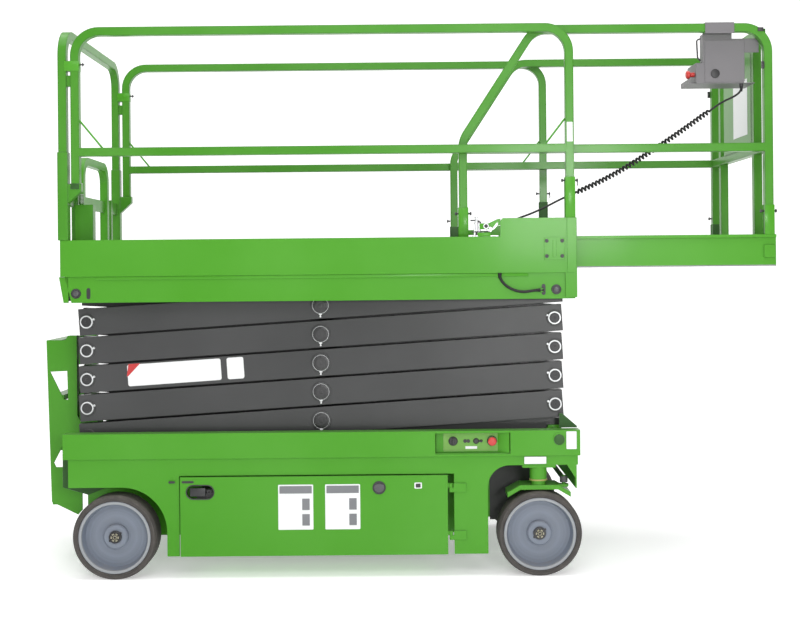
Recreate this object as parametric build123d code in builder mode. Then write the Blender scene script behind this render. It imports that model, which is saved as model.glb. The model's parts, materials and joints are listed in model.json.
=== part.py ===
"""Self-propelled scissor lift with five scissor stages and a roll-out deck extension.

Millimetres, +Z up, floor at Z=0, +X towards the steered wheels and the extension, -Y is the near side.
The machine stands stowed, with the extension deck rolled out.  X stations are counted from the rear
axle, and the origin lies under the middle of the whole length.
"""
import os
from math import asin, cos, radians, sin, sqrt, tan

from build123d import *

os.makedirs("parts", exist_ok=True)

NEAR, FAR = -1, 1
SIDES = {"near": NEAR, "far": FAR}

# ---------------------------------------------------------------- driving dimensions
GAP = 5.0                  # clear space kept between pieces that move past each other
PIN_PLAY = 0.3             # radial play of every pin in its bore
SHEET = 6.0                # thickness of the folded side sheets
FLANGE = 8.0               # thickness of beam flanges and ledges

# wheels
WHEELBASE = 1918.0
TYRE_R = 190.0
TYRE_W = 127.0
RIM_R = 163.0              # outside of the rim's lip, where the tyre is pressed on
RIM_LIP = 13.0
HUB_R = 56.0
SPINDLE_R = 25.0

# chassis
BASE_HALF = 575.0          # outer face of the side beams from the middle plane
WHEEL_FACE = BASE_HALF + 10.0          # outer face of the tyres from the middle plane
BASE_TAIL = 233.0          # rear end of the side beams, behind the rear axle
BASE_NOSE = 186.0          # front end of the side beams, ahead of the front axle
BEAM_LOW, BEAM_TOP = 547.0, 656.0
BEAM_FLANGE_W = 70.0
SKIRT_RECESS = 9.0         # side skirt behind the beam's face
SKIRT_LOW = 100.0          # ground clearance
SPINE_HALF = BASE_HALF - 285.0         # half width of the central tray between the wheels
SPINE_LOW = 140.0
WELL_FLOOR = 6.0

# compartment doors, from the rear axle
DOOR_REAR, DOOR_FRONT = 296.0, 1504.0
DOOR_LOW, DOOR_TOP = 100.0, 458.0
DOOR_THICK = 25.0
HINGE_PANEL_START = DOOR_FRONT + 29.0

# steering
KINGPIN_R = 22.0
KINGPIN_HALF = WHEEL_FACE - TYRE_W / 2     # kingpins, over the middle of the tyres
STEER_ARM = 116.0          # kingpin to ball joint
YOKE_LOW, YOKE_TOP = 386.0, 406.0
TIE_ROD_Z, TIE_ROD_R = 428.0, 11.0
BALL_PIN_R = 9.0
STEER_CYL_BACK = 50.0      # steering cylinder behind the tie rod
STEER_CYL_Z = 462.0
STEER_FOOT_Y, STEER_EYE_Y = 340.0, -60.0
STEER_FOOT_T = 28.0        # height of the foot's bush

# scissor stack
STAGES = 5
LIFT_SWING = 56.0          # degrees each arm swings from stowed to fully raised
ARM_PINS = 2154.0          # distance between the end pins of an arm
PITCH = 132.0              # height of one stowed stage
BASE_PIN_Z = 631.0
PIVOT_FROM_AXLE = 2005.0   # fixed pivots, ahead of the rear axle
ARM_H, ARM_W, ARM_WALL = 122.0, 60.0, 5.0
ARM_END = 36.0             # tube beyond its end pin
ARM_GAP = 10.0             # between outer and inner arms
PIN_R, CENTRE_PIN_R = 22.0, 26.0
SLIDE_PIN_R = 12.0         # pins in the slide blocks
BOSS_R, CENTRE_BOSS_R, BOSS_T = 36.0, 45.0, 6.0
CROSS_R = 30.0             # cross tubes between the inner arms
BLOCK_W = 50.0             # slide blocks, across
BLOCK_LENGTH = 130.0

# lift cylinders
FOOT_SHARE, EYE_SHARE = 0.667, 0.25    # places along the inner arms, as shares of the pin distance
BARREL_R, BORE_R, ROD_R = 50.0, 40.0, 32.0
BARREL_LENGTH = 560.0
EYE_R, EYE_HALF = 42.0, 40.0

# platform
DECK_HALF = 560.0          # outer face of the toe boards
OUTER_ARM_OUT = min(BASE_HALF - 110.0, DECK_HALF - 95.0)       # outer face of the outer arms
DECK_TAIL, DECK_NOSE = 240.0, 2099.0   # from the rear axle
TOP_PIN_Z = BASE_PIN_Z + STAGES * PITCH
TOE_LOW = TOP_PIN_Z + 76.0
TOE_TOP, TOE_RAISED = TOE_LOW + 166.0, TOE_LOW + 249.0
RAISED_FROM = 1753.0
LOWER_TAIL, LOWER_NOSE = 222.0, 2091.0
LOWER_BEAM_LOW = TOP_PIN_Z - 42.0
FLOOR_Z = TOE_LOW + 16.0
FLOOR_T = 6.0
POST_W = 53.0              # corner strips at the front of the toe boards

# guardrails
TUBE, TUBE_WALL = 38.0, 3.0
RAIL_TOP = FLOOR_Z + 1095.0            # tube centres
RAIL_MID = FLOOR_Z + 549.0
RAIL_BEND = 110.0
MAIN_REAR_LEG, MAIN_FRONT_LEG = -168.0, 2071.0
GATE_POST = -225.0
EXT_FRONT_LEG = 2986.0
EXT_BENT_LEG, EXT_BENT_TOP = 1589.0, 1918.0
EXT_BENT_KNEE = RAIL_MID + 44.0

# extension deck, rolled out
EXT_STROKE = 900.0
EXT_LENGTH = 1455.0
EXT_OVERHANG = 17.0        # nose of the extension ahead of the main deck when it is rolled in
EXT_LOW = FLOOR_Z + 11.0
EXT_BEAM_OUT = DECK_HALF - 48.0
MAIN_RAIL_Y, EXT_RAIL_Y = DECK_HALF - 20.0, EXT_BEAM_OUT - 20.0

# ---------------------------------------------------------------- derived stations
EXT_NOSE = DECK_NOSE + EXT_OVERHANG + EXT_STROKE
LADDER_TAIL = 399.0
REAR_X = -(EXT_NOSE - LADDER_TAIL) / 2
FRONT_X = REAR_X + WHEELBASE
BASE_REAR, BASE_FRONT = REAR_X - BASE_TAIL, FRONT_X + BASE_NOSE
BALL_X = FRONT_X + STEER_ARM
STEER_CYL_X = BALL_X - STEER_CYL_BACK
SPAN = sqrt(ARM_PINS**2 - PITCH**2)
PIVOT_X = REAR_X + PIVOT_FROM_AXLE
SLIDE_X = PIVOT_X - SPAN
INNER_ARM_OUT = OUTER_ARM_OUT - ARM_W - ARM_GAP
INNER_ARM_IN = INNER_ARM_OUT - ARM_W
BEAM_IN = BASE_HALF - BEAM_FLANGE_W
SKIRT_OUT = BASE_HALF - SKIRT_RECESS
LOWER_OUT = DECK_HALF - 8.0
LOWER_IN = LOWER_OUT - 62.0
FLOOR_HALF = DECK_HALF - SHEET


def at(distance):
    """X of a place counted forward from the rear axle."""
    return REAR_X + distance


def span_y(side, inner, outer):
    """Low and high Y between two distances from the middle plane, on one side."""
    return tuple(sorted((side * inner, side * outer)))


def block(x, y, z, mode=Mode.ADD):
    """A straight-sided block between a low and a high value on each axis."""
    middle = [(low + high) / 2 for low, high in (x, y, z)]
    size = [high - low for low, high in (x, y, z)]
    with Locations(tuple(middle)):
        Box(*size, mode=mode)


def side_plate(outline, y, mode=Mode.ADD):
    """A plate with an outline in X and Z, between a low and a high Y."""
    with BuildSketch(Plane.XZ.offset(-y[1])) as face:
        with BuildLine():
            Polyline(*outline, close=True)
        make_face()
    extrude(face.sketch, amount=y[1] - y[0], mode=mode)


def rod_y(x, z, radius, y, mode=Mode.ADD):
    """A round bar across the machine, between a low and a high Y."""
    with Locations(Location((x, (y[0] + y[1]) / 2, z), (90, 0, 0))):
        Cylinder(radius, y[1] - y[0], mode=mode)


def rod_x(y, z, radius, x, mode=Mode.ADD):
    """A round bar along the machine, between a low and a high X."""
    with Locations(Location(((x[0] + x[1]) / 2, y, z), (0, 90, 0))):
        Cylinder(radius, x[1] - x[0], mode=mode)


def rod_z(x, y, radius, z, mode=Mode.ADD):
    """An upright round bar, between a low and a high Z."""
    with Locations((x, y, (z[0] + z[1]) / 2)):
        Cylinder(radius, z[1] - z[0], mode=mode)


def square_tube(points, bends, across, start_z_dir):
    """A square tube along straight runs with rounded corners; the bends are the corner radii."""
    with BuildLine() as path:
        FilletPolyline(*points, radius=bends)
    with BuildSketch(Plane(points[0], x_dir=across, z_dir=start_z_dir)) as section:
        Rectangle(TUBE, TUBE)
        Rectangle(TUBE - 2 * TUBE_WALL, TUBE - 2 * TUBE_WALL, mode=Mode.SUBTRACT)
    sweep(section.sketch, path=path.line)


def straight_tube(low, high, axis):
    """A square tube between two points along one axis, X, Y or Z."""
    length = sum(b - a for a, b in zip(low, high))
    plane = {"X": Plane.YZ, "Y": Plane.ZX, "Z": Plane.XY}[axis]
    with BuildSketch(Plane(low, x_dir=plane.x_dir, z_dir=plane.z_dir)) as section:
        Rectangle(TUBE, TUBE)
        Rectangle(TUBE - 2 * TUBE_WALL, TUBE - 2 * TUBE_WALL, mode=Mode.SUBTRACT)
    extrude(section.sketch, amount=length)


def save(part, label):
    """Name a finished piece and write it."""
    part.label = label
    export_step(part, f"parts/{label}.step")


# ---------------------------------------------------------------- chassis frame
TRACK_LEDGE = BASE_PIN_Z - 50.0        # top of the ledge the lower slide blocks run on
RAISED_SPAN = ARM_PINS * cos(asin(PITCH / ARM_PINS) + radians(LIFT_SWING))
TRACK_END = PIVOT_X - RAISED_SPAN + BLOCK_LENGTH / 2 + 2 * GAP
FRAME_X = (BASE_REAR, BASE_FRONT)
CARRIER_Z = (485.0, BEAM_LOW - WELL_FLOOR)
PANEL_X = (at(1450), at(1788))         # recess for the ground controls

with BuildPart() as chassis_frame:
    # floor of the well between the side beams
    block(FRAME_X, (-BEAM_IN, BEAM_IN), (BEAM_LOW - WELL_FLOOR, BEAM_LOW))
    for side in (NEAR, FAR):
        block(FRAME_X, span_y(side, BASE_HALF - SHEET, BASE_HALF), (BEAM_LOW, BEAM_TOP))
        for z in ((BEAM_TOP - FLANGE, BEAM_TOP), (BEAM_LOW, BEAM_LOW + FLANGE)):
            block(FRAME_X, span_y(side, BEAM_IN, BASE_HALF - SHEET), z)
        block(FRAME_X, span_y(side, BEAM_IN, BASE_HALF), (BEAM_LOW - WELL_FLOOR, BEAM_LOW))
        # ledge under the slide blocks, and the closed part of the beam ahead of it
        block((BASE_REAR, TRACK_END), span_y(side, BEAM_IN, BASE_HALF - SHEET),
              (TRACK_LEDGE - FLANGE, TRACK_LEDGE))
        block((TRACK_END, BASE_FRONT), span_y(side, BEAM_IN, BEAM_IN + SHEET), (BEAM_LOW, BEAM_TOP))
        # end caps
        for x in ((BASE_REAR, BASE_REAR + SHEET), (BASE_FRONT - SHEET, BASE_FRONT)):
            block(x, span_y(side, BEAM_IN, BASE_HALF), (BEAM_LOW, BEAM_TOP))
        # central tray's side webs, cut up at the front for the steering
        side_plate(
            [(at(-190), CARRIER_Z[1]), (at(-190), SPINE_LOW + 60), (at(-130), SPINE_LOW), (at(1560), SPINE_LOW),
             (at(1640), 212), (at(1850), 212), (at(1850), CARRIER_Z[1])],
            span_y(side, SPINE_HALF - FLANGE, SPINE_HALF),
        )
        # rear axle stub, from the tray to inside the wheel
        rod_y(REAR_X, TYRE_R, 55, span_y(side, SPINE_HALF, WHEEL_FACE - TYRE_W - GAP))
        rod_y(REAR_X, TYRE_R, SPINDLE_R, span_y(side, WHEEL_FACE - TYRE_W - GAP, WHEEL_FACE - 40))
        # kingpin carrier over the front wheel
        block((FRONT_X - 75, FRONT_X + 75), span_y(side, SPINE_HALF - FLANGE, SKIRT_OUT - SHEET), CARRIER_Z)
        rod_z(FRONT_X, side * KINGPIN_HALF, 38.5, (YOKE_TOP + 15, CARRIER_Z[0]))
        rod_z(FRONT_X, side * KINGPIN_HALF, KINGPIN_R + PIN_PLAY, (YOKE_TOP, CARRIER_Z[1] - 12),
              mode=Mode.SUBTRACT)
        # fixed pivots of the scissor stack
        side_plate(
            [(PIVOT_X - 70, BEAM_LOW), (PIVOT_X - 28, BASE_PIN_Z + 30), (PIVOT_X + 28, BASE_PIN_Z + 30),
             (PIVOT_X + 70, BEAM_LOW)],
            span_y(side, INNER_ARM_OUT + GAP, INNER_ARM_OUT + GAP + 25),
        )
        rod_y(PIVOT_X, BASE_PIN_Z, PIN_R, span_y(side, INNER_ARM_IN, BEAM_IN))
        # access hole to the pivot, with its plug
        rod_y(PIVOT_X, BASE_PIN_Z - 10, 24, span_y(side, BASE_HALF, BASE_HALF + 2))
    # recess for the ground controls in the near beam
    block(PANEL_X, (-BASE_HALF, -BASE_HALF + SHEET), (BEAM_LOW + 4, BEAM_TOP - 10), mode=Mode.SUBTRACT)
    # cross members of the tray
    for x in (at(-190), at(500), at(1180), at(1842)):
        block((x, x + FLANGE), (-SPINE_HALF + FLANGE, SPINE_HALF - FLANGE), (212, CARRIER_Z[1]))
    block((at(1858), BASE_FRONT - 30), (-SPINE_HALF, SPINE_HALF), CARRIER_Z)
    # pin for the steering cylinder's foot
    rod_z(STEER_CYL_X, STEER_FOOT_Y, BALL_PIN_R, (STEER_CYL_Z - STEER_FOOT_T / 2 - 3, CARRIER_Z[0]))
save(chassis_frame.part, "chassis_frame")

# ---------------------------------------------------------------- side skirts
ARCH_TOP_REAR, ARCH_TOP_FRONT = 413.0, 498.0
REAR_ARCH, REAR_ARCH_R = 235.0, 205.0
FRONT_ARCH, FRONT_ARCH_R = 1686.0, 98.0
REAR_ARCH_X, FRONT_ARCH_X = at(REAR_ARCH), at(FRONT_ARCH)
HINGE_X, HINGE_Y = at(DOOR_FRONT + 14.5), BASE_HALF - 8
SKIRT_X = (at(-211), FRONT_ARCH_X + 408)
HINGE_PIN_R = 4.0
HINGE_HEIGHTS = (185.0, 400.0)         # middles of the two hinge straps
SKIRT_TOP = BEAM_LOW - WELL_FLOOR

with BuildPart() as side_skirts:
    with BuildSketch(Plane.XZ.offset(SKIRT_OUT - SHEET)):
        with BuildLine():
            Line((SKIRT_X[0], ARCH_TOP_REAR), (REAR_ARCH_X - REAR_ARCH_R, ARCH_TOP_REAR))
            RadiusArc((REAR_ARCH_X - REAR_ARCH_R, ARCH_TOP_REAR), (REAR_ARCH_X, ARCH_TOP_REAR - REAR_ARCH_R),
                      REAR_ARCH_R)
            Polyline(
                (REAR_ARCH_X, ARCH_TOP_REAR - REAR_ARCH_R), (REAR_ARCH_X, SKIRT_LOW),
                (at(DOOR_REAR - GAP), SKIRT_LOW), (at(DOOR_REAR - GAP), DOOR_TOP + GAP),
                (at(HINGE_PANEL_START), DOOR_TOP + GAP), (at(HINGE_PANEL_START), SKIRT_LOW),
                (FRONT_ARCH_X, SKIRT_LOW), (FRONT_ARCH_X, ARCH_TOP_FRONT - FRONT_ARCH_R),
            )
            RadiusArc((FRONT_ARCH_X, ARCH_TOP_FRONT - FRONT_ARCH_R),
                      (FRONT_ARCH_X + FRONT_ARCH_R, ARCH_TOP_FRONT), FRONT_ARCH_R)
            Polyline(
                (FRONT_ARCH_X + FRONT_ARCH_R, ARCH_TOP_FRONT), (SKIRT_X[1], ARCH_TOP_FRONT),
                (SKIRT_X[1], SKIRT_TOP), (SKIRT_X[0], SKIRT_TOP), (SKIRT_X[0], ARCH_TOP_REAR),
            )
        make_face()
    extrude(amount=SHEET)
    # hinge straps on the panel ahead of the door, each with an upright pin
    for z in HINGE_HEIGHTS:
        block((HINGE_X + 12, HINGE_X + 68.5), (-SKIRT_OUT - SHEET, -SKIRT_OUT), (z - 20, z + 20))
        block((HINGE_X, HINGE_X + 12), (-SKIRT_OUT - SHEET, -SKIRT_OUT + 4), (z - 20, z))
        rod_z(HINGE_X, -HINGE_Y, 8, (z - 20, z))
        rod_z(HINGE_X, -HINGE_Y, HINGE_PIN_R, (z, z + 20))
    mirror(about=Plane.XZ)
    # cover across the front end, with a bevelled lower corner at each side
    block((BASE_FRONT - 22, BASE_FRONT - 16), (-SKIRT_OUT, SKIRT_OUT), (ARCH_TOP_FRONT - 105, ARCH_TOP_FRONT))
    block((BASE_FRONT - 22, BASE_FRONT - 16), (-SKIRT_OUT + SHEET, SKIRT_OUT - SHEET), (ARCH_TOP_FRONT, SKIRT_TOP))
    for side in (NEAR, FAR):
        side_plate(
            [(BASE_FRONT - 60, ARCH_TOP_FRONT), (BASE_FRONT - 22, ARCH_TOP_FRONT - 60),
             (BASE_FRONT - 22, ARCH_TOP_FRONT)],
            span_y(side, SKIRT_OUT - SHEET, SKIRT_OUT),
        )
save(side_skirts.part, "side_skirts")

# ---------------------------------------------------------------- ladder at the rear end
LADDER_HALF = 220.0
LADDER_TOP = 1063.0
LADDER_STEPS = (300.0, 560.0, 800.0)   # tops of the steps
LADDER_FRONT = BASE_REAR - 21.0        # front edge of the side plates above the frame

with BuildPart() as ladder:
    for side in (NEAR, FAR):
        plate_y = span_y(side, LADDER_HALF - SHEET, LADDER_HALF)
        side_plate(
            [(REAR_X - LADDER_TAIL, LADDER_TOP), (at(-308), LADDER_TOP), (at(-296), LADDER_TOP + 21),
             (LADDER_FRONT, LADDER_TOP + 21), (LADDER_FRONT, 700), (BASE_REAR, 660), (BASE_REAR, 250),
             (LADDER_FRONT, 227), (at(-380), 289)],
            plate_y,
        )
        for cutout in (
            [(at(-382), 912), (at(-301), 915), (at(-298), 778), (at(-317), 778)],
            [(at(-368), 476), (at(-310), 586), (at(-310), 455), (at(-358), 455)],
        ):
            side_plate(cutout, plate_y, mode=Mode.SUBTRACT)
        # inner flange along the front edge
        block((LADDER_FRONT - SHEET, LADDER_FRONT), span_y(side, LADDER_HALF - 40, LADDER_HALF - SHEET),
              (300, LADDER_TOP + 21))
    for top in LADDER_STEPS:
        block((at(-378), at(-318)), (-LADDER_HALF + SHEET, LADDER_HALF - SHEET), (top - 25, top))
        block((at(-372), at(-324)), (-LADDER_HALF + 2 * SHEET, LADDER_HALF - 2 * SHEET), (top - 25, top - 4),
              mode=Mode.SUBTRACT)
    block((at(-396), at(-330)), (-LADDER_HALF + SHEET, LADDER_HALF - SHEET), (LADDER_TOP - 8, LADDER_TOP))
save(ladder.part, "ladder")

# ---------------------------------------------------------------- ground controls
PANEL_FACE = BASE_HALF - 30.0
with BuildPart() as ground_panel:
    block((PANEL_X[0] + 3, PANEL_X[1] - 60), (-PANEL_FACE, -PANEL_FACE + 4), (BEAM_LOW + FLANGE, BEAM_TOP - 10))
    # bevelled end of the recess
    with BuildSketch(Plane.XY.offset(BEAM_LOW + FLANGE)) as bevel:
        with BuildLine():
            Polyline(
                (PANEL_X[1] - 60, -PANEL_FACE), (PANEL_X[1] - 4, -BASE_HALF), (PANEL_X[1] - 4, -BASE_HALF + 4),
                (PANEL_X[1] - 60, -PANEL_FACE + 4), close=True,
            )
        make_face()
    extrude(bevel.sketch, amount=BEAM_TOP - 10 - BEAM_LOW - FLANGE)
save(ground_panel.part, "ground_panel")

with BuildPart() as ground_switches:
    rod_y(at(1531), 607, 13, (-PANEL_FACE - 12, -PANEL_FACE))
    block((at(1531) - 5, at(1531) + 5), (-PANEL_FACE - 22, -PANEL_FACE - 12), (596, 618))
    for x, radius in ((1635, 10), (1652, 4), (1585, 8), (1600, 8)):
        rod_y(at(x), 607, radius, (-PANEL_FACE - 6, -PANEL_FACE))
save(ground_switches.part, "ground_switches")


def stop_button(direction_plane, height):
    """A mushroom emergency stop standing on a plane: stem, flare and domed cap in one turned solid."""
    with BuildSketch(direction_plane) as half:
        with BuildLine():
            Polyline(
                (0, 0), (11, 0), (11, height * 0.45), (19, height * 0.6), (19, height * 0.85), (13, height * 0.97),
                (0, height), close=True,
            )
        make_face()
    return half.sketch


with BuildPart() as ground_stop:
    stop_face = Plane(origin=(at(1707), -PANEL_FACE, 607), x_dir=(1, 0, 0), z_dir=(0, 0, -1))
    revolve(stop_button(stop_face, 30), axis=Axis((at(1707), -PANEL_FACE, 607), (0, 1, 0)), revolution_arc=360)
save(ground_stop.part, "ground_stop")

# ---------------------------------------------------------------- compartment doors with their trays
TRAY_X = (HINGE_X - 1160, HINGE_X - 80)
TRAY_IN = SPINE_HALF + 15.0
TRAY_LOW = 112.0

for name, side in SIDES.items():
    with BuildPart() as door:
        door_y = span_y(side, BASE_HALF - DOOR_THICK, BASE_HALF)
        block((at(DOOR_REAR), at(DOOR_FRONT)), door_y, (DOOR_LOW, DOOR_TOP))
        inside_y = span_y(side, BASE_HALF - DOOR_THICK, BASE_HALF - 3)
        block((at(DOOR_REAR) + 20, at(DOOR_FRONT) - 20), inside_y, (DOOR_LOW + 20, DOOR_TOP - 20),
              mode=Mode.SUBTRACT)
        # tray that swings out with the door, on a lip under the door's inner return
        block(TRAY_X, span_y(side, TRAY_IN, BASE_HALF - DOOR_THICK), (TRAY_LOW, TRAY_LOW + SHEET))
        block(TRAY_X, span_y(side, TRAY_IN, TRAY_IN + SHEET), (TRAY_LOW, TRAY_LOW + 60))
        # recess round the handle
        with BuildSketch(Plane.XZ.offset(-side * BASE_HALF)) as pull:
            with Locations((at(386), 390)):
                SlotOverall(120, 58)
        extrude(pull.sketch, amount=side * 14, mode=Mode.SUBTRACT)
        # hinge knuckles on the door's front edge
        for z in HINGE_HEIGHTS:
            block((at(DOOR_FRONT), HINGE_X), span_y(side, HINGE_Y - 3, HINGE_Y + 3), (z + PIN_PLAY, z + 20))
            rod_z(HINGE_X, side * HINGE_Y, 8, (z + PIN_PLAY, z + 20))
            rod_z(HINGE_X, side * HINGE_Y, HINGE_PIN_R + PIN_PLAY, (z, z + 20), mode=Mode.SUBTRACT)
    save(door.part, f"{name}_door")

BATTERIES = 4
BATTERY_GAP = 12.0
with BuildPart() as battery_pack:
    room = (TRAY_X[0] + 10, TRAY_X[1] - 10)
    length = (room[1] - room[0] - (BATTERIES - 1) * BATTERY_GAP) / BATTERIES
    battery_y = (-BASE_HALF + DOOR_THICK + 2, -TRAY_IN - SHEET - 2)
    for number in range(BATTERIES):
        start = room[0] + number * (length + BATTERY_GAP)
        block((start, start + length), battery_y, (TRAY_LOW + SHEET, TRAY_LOW + 270))
        block((start + 8, start + length - 8), (battery_y[0] + 8, battery_y[1] - 8),
              (TRAY_LOW + 270, TRAY_LOW + 285))
        for share in (0.25, 0.75):
            rod_z(start + share * length, -BASE_HALF + 60, 9, (TRAY_LOW + 285, TRAY_LOW + 300))
save(battery_pack.part, "battery_pack")

with BuildPart() as hydraulic_unit:
    tank_y = (TRAY_IN + SHEET + 2, BASE_HALF - DOOR_THICK - 8)
    tank_x = (TRAY_X[0] + 40, TRAY_X[0] + 440)
    block(tank_x, tank_y, (TRAY_LOW + SHEET, TRAY_LOW + 260))
    unit_y = (tank_y[0] + tank_y[1]) / 2
    rod_z(tank_x[0] + 70, unit_y, 28, (TRAY_LOW + 260, TRAY_LOW + 285))
    # pump, motor and valve block
    block((tank_x[1], tank_x[1] + 90), (unit_y - 50, unit_y + 50), (TRAY_LOW + SHEET, TRAY_LOW + 180))
    rod_x(unit_y, TRAY_LOW + 100, 62, (tank_x[1] + 90, tank_x[1] + 330))
    block((tank_x[1] + 380, tank_x[1] + 540), (unit_y - 70, unit_y + 70), (TRAY_LOW + SHEET, TRAY_LOW + 150))
save(hydraulic_unit.part, "hydraulic_unit")

# ---------------------------------------------------------------- wheels
TYRE_CROWN = 9.0
WHEELS = {"rear": REAR_X, "front": FRONT_X}
HUB_FACE = WHEEL_FACE - 22.0
DISC_OUT, DISC_IN = WHEEL_FACE - 48.0, WHEEL_FACE - 58.0
SPINDLE_END = WHEEL_FACE - 40.0
TYRE_IN = WHEEL_FACE - TYRE_W


def wheel_plane(x, side):
    """Plane through a wheel's axis: first coordinate is the radius, second the distance from the middle."""
    return Plane(origin=(x, 0, TYRE_R), x_dir=(0, 0, 1), z_dir=(-side, 0, 0))


for axle, x in WHEELS.items():
    for name, side in SIDES.items():
        axis = Axis((x, 0, TYRE_R), (0, 1, 0))
        with BuildPart() as tyre:
            with BuildSketch(wheel_plane(x, side)):
                with BuildLine():
                    Polyline(
                        (RIM_R, TYRE_IN + 4), (RIM_R + 8, TYRE_IN), (TYRE_R - TYRE_CROWN, TYRE_IN),
                        (TYRE_R, TYRE_IN + 12), (TYRE_R, WHEEL_FACE - 12), (TYRE_R - TYRE_CROWN, WHEEL_FACE),
                        (RIM_R + 8, WHEEL_FACE), (RIM_R, WHEEL_FACE - 4), close=True,
                    )
                make_face()
            revolve(axis=axis)
        save(tyre.part, f"{name}_{axle}_tyre")
        with BuildPart() as rim:
            with BuildSketch(wheel_plane(x, side)):
                with BuildLine():
                    Polyline(
                        (0, HUB_FACE), (HUB_R - 6, HUB_FACE), (HUB_R, HUB_FACE - 6), (HUB_R, DISC_OUT + 4),
                        (RIM_R - RIM_LIP - 10, DISC_OUT), (RIM_R - RIM_LIP, WHEEL_FACE - 14),
                        (RIM_R - RIM_LIP, WHEEL_FACE - 2), (RIM_R, WHEEL_FACE - 2), (RIM_R, TYRE_IN + 2),
                        (RIM_R - RIM_LIP, TYRE_IN + 2),
                        (RIM_R - RIM_LIP, DISC_IN - 8), (RIM_R - RIM_LIP - 10, DISC_IN), (HUB_R, DISC_IN),
                        (HUB_R, DISC_IN - 20), (SPINDLE_R + PIN_PLAY, DISC_IN - 20),
                        (SPINDLE_R + PIN_PLAY, SPINDLE_END + PIN_PLAY), (0, SPINDLE_END + PIN_PLAY), close=True,
                    )
                make_face()
            revolve(axis=axis)
            # slotted hub nut
            rod_y(x, TYRE_R, 27, span_y(side, HUB_FACE, HUB_FACE + 10))
            for angle in (35, 215):
                spot = (x + 30 * cos(radians(angle)), TYRE_R + 30 * sin(radians(angle)))
                rod_y(*spot, 4, span_y(side, HUB_FACE, HUB_FACE + 3))
        save(rim.part, f"{name}_{axle}_rim")

# ---------------------------------------------------------------- steering
HUB_MOTOR_R = 62.0

for name, side in SIDES.items():
    with BuildPart() as knuckle:
        # arched plate over the wheel
        side_plate(
            [(FRONT_X - 143, 352), (FRONT_X - 85, YOKE_LOW), (FRONT_X + 85, YOKE_LOW), (FRONT_X + 143, 352),
             (FRONT_X + 143, 374), (FRONT_X + 85, YOKE_TOP), (FRONT_X - 85, YOKE_TOP), (FRONT_X - 143, 374)],
            span_y(side, TYRE_IN - 30, KINGPIN_HALF + 40),
        )
        # inner plate down to the hub, with the drive motor and the spindle
        side_plate(
            [(FRONT_X - 80, YOKE_LOW), (FRONT_X - 60, 130), (FRONT_X + 60, 130), (FRONT_X + 80, YOKE_LOW)],
            span_y(side, TYRE_IN - 30, TYRE_IN - 10),
        )
        rod_y(FRONT_X, TYRE_R, HUB_MOTOR_R, span_y(side, TYRE_IN - 110, TYRE_IN - 30))
        rod_y(FRONT_X, TYRE_R, HUB_R, span_y(side, TYRE_IN - 10, TYRE_IN + 20))
        rod_y(FRONT_X, TYRE_R, SPINDLE_R, span_y(side, TYRE_IN, SPINDLE_END))
        rod_z(FRONT_X, side * KINGPIN_HALF, KINGPIN_R, (YOKE_TOP, CARRIER_Z[1] - 20))
        rod_z(FRONT_X, side * KINGPIN_HALF, 33, (YOKE_TOP, YOKE_TOP + 14))
        # steering arm with its ball pin
        block((FRONT_X + 40, BALL_X), span_y(side, KINGPIN_HALF - 22, KINGPIN_HALF + 22), (YOKE_TOP - 12, YOKE_TOP))
        rod_z(BALL_X, side * KINGPIN_HALF, 22, (YOKE_TOP - 12, YOKE_TOP))
        rod_z(BALL_X, side * KINGPIN_HALF, BALL_PIN_R, (YOKE_TOP, TIE_ROD_Z + 16))
    save(knuckle.part, f"{name}_knuckle")

BRACKET_Z = (TIE_ROD_Z + TIE_ROD_R, TIE_ROD_Z + TIE_ROD_R + 6)

with BuildPart() as tie_rod:
    rod_y(BALL_X, TIE_ROD_Z, TIE_ROD_R, (-KINGPIN_HALF + 15, KINGPIN_HALF - 15))
    for side in (NEAR, FAR):
        rod_z(BALL_X, side * KINGPIN_HALF, 18, (TIE_ROD_Z - 14, TIE_ROD_Z + 14))
        rod_z(BALL_X, side * KINGPIN_HALF, BALL_PIN_R + PIN_PLAY, (TIE_ROD_Z - 14, TIE_ROD_Z + 14),
              mode=Mode.SUBTRACT)
    # bracket that the steering cylinder pushes on
    block((STEER_CYL_X - 20, BALL_X + 11), (STEER_EYE_Y - 25, STEER_EYE_Y + 25), BRACKET_Z)
    block((BALL_X - 8, BALL_X + 8), (STEER_EYE_Y - 25, STEER_EYE_Y + 25), (TIE_ROD_Z, BRACKET_Z[0]))
save(tie_rod.part, "tie_rod")

STEER_BARREL_R, STEER_ROD_R = 20.0, 10.0
with BuildPart() as steer_barrel:
    rod_y(STEER_CYL_X, STEER_CYL_Z, STEER_BARREL_R, (STEER_FOOT_Y - 250, STEER_FOOT_Y - 18))
    foot_z = (STEER_CYL_Z - STEER_FOOT_T / 2, STEER_CYL_Z + STEER_FOOT_T / 2)
    rod_z(STEER_CYL_X, STEER_FOOT_Y, 18, foot_z)
    block((STEER_CYL_X - 10, STEER_CYL_X + 10), (STEER_FOOT_Y - 20, STEER_FOOT_Y),
          (STEER_CYL_Z - 10, STEER_CYL_Z + 10))
    rod_z(STEER_CYL_X, STEER_FOOT_Y, BALL_PIN_R + PIN_PLAY, foot_z, mode=Mode.SUBTRACT)
    rod_y(STEER_CYL_X, STEER_CYL_Z, STEER_ROD_R + PIN_PLAY, (STEER_FOOT_Y - 250, STEER_FOOT_Y - 30),
          mode=Mode.SUBTRACT)
save(steer_barrel.part, "steer_barrel")

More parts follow.
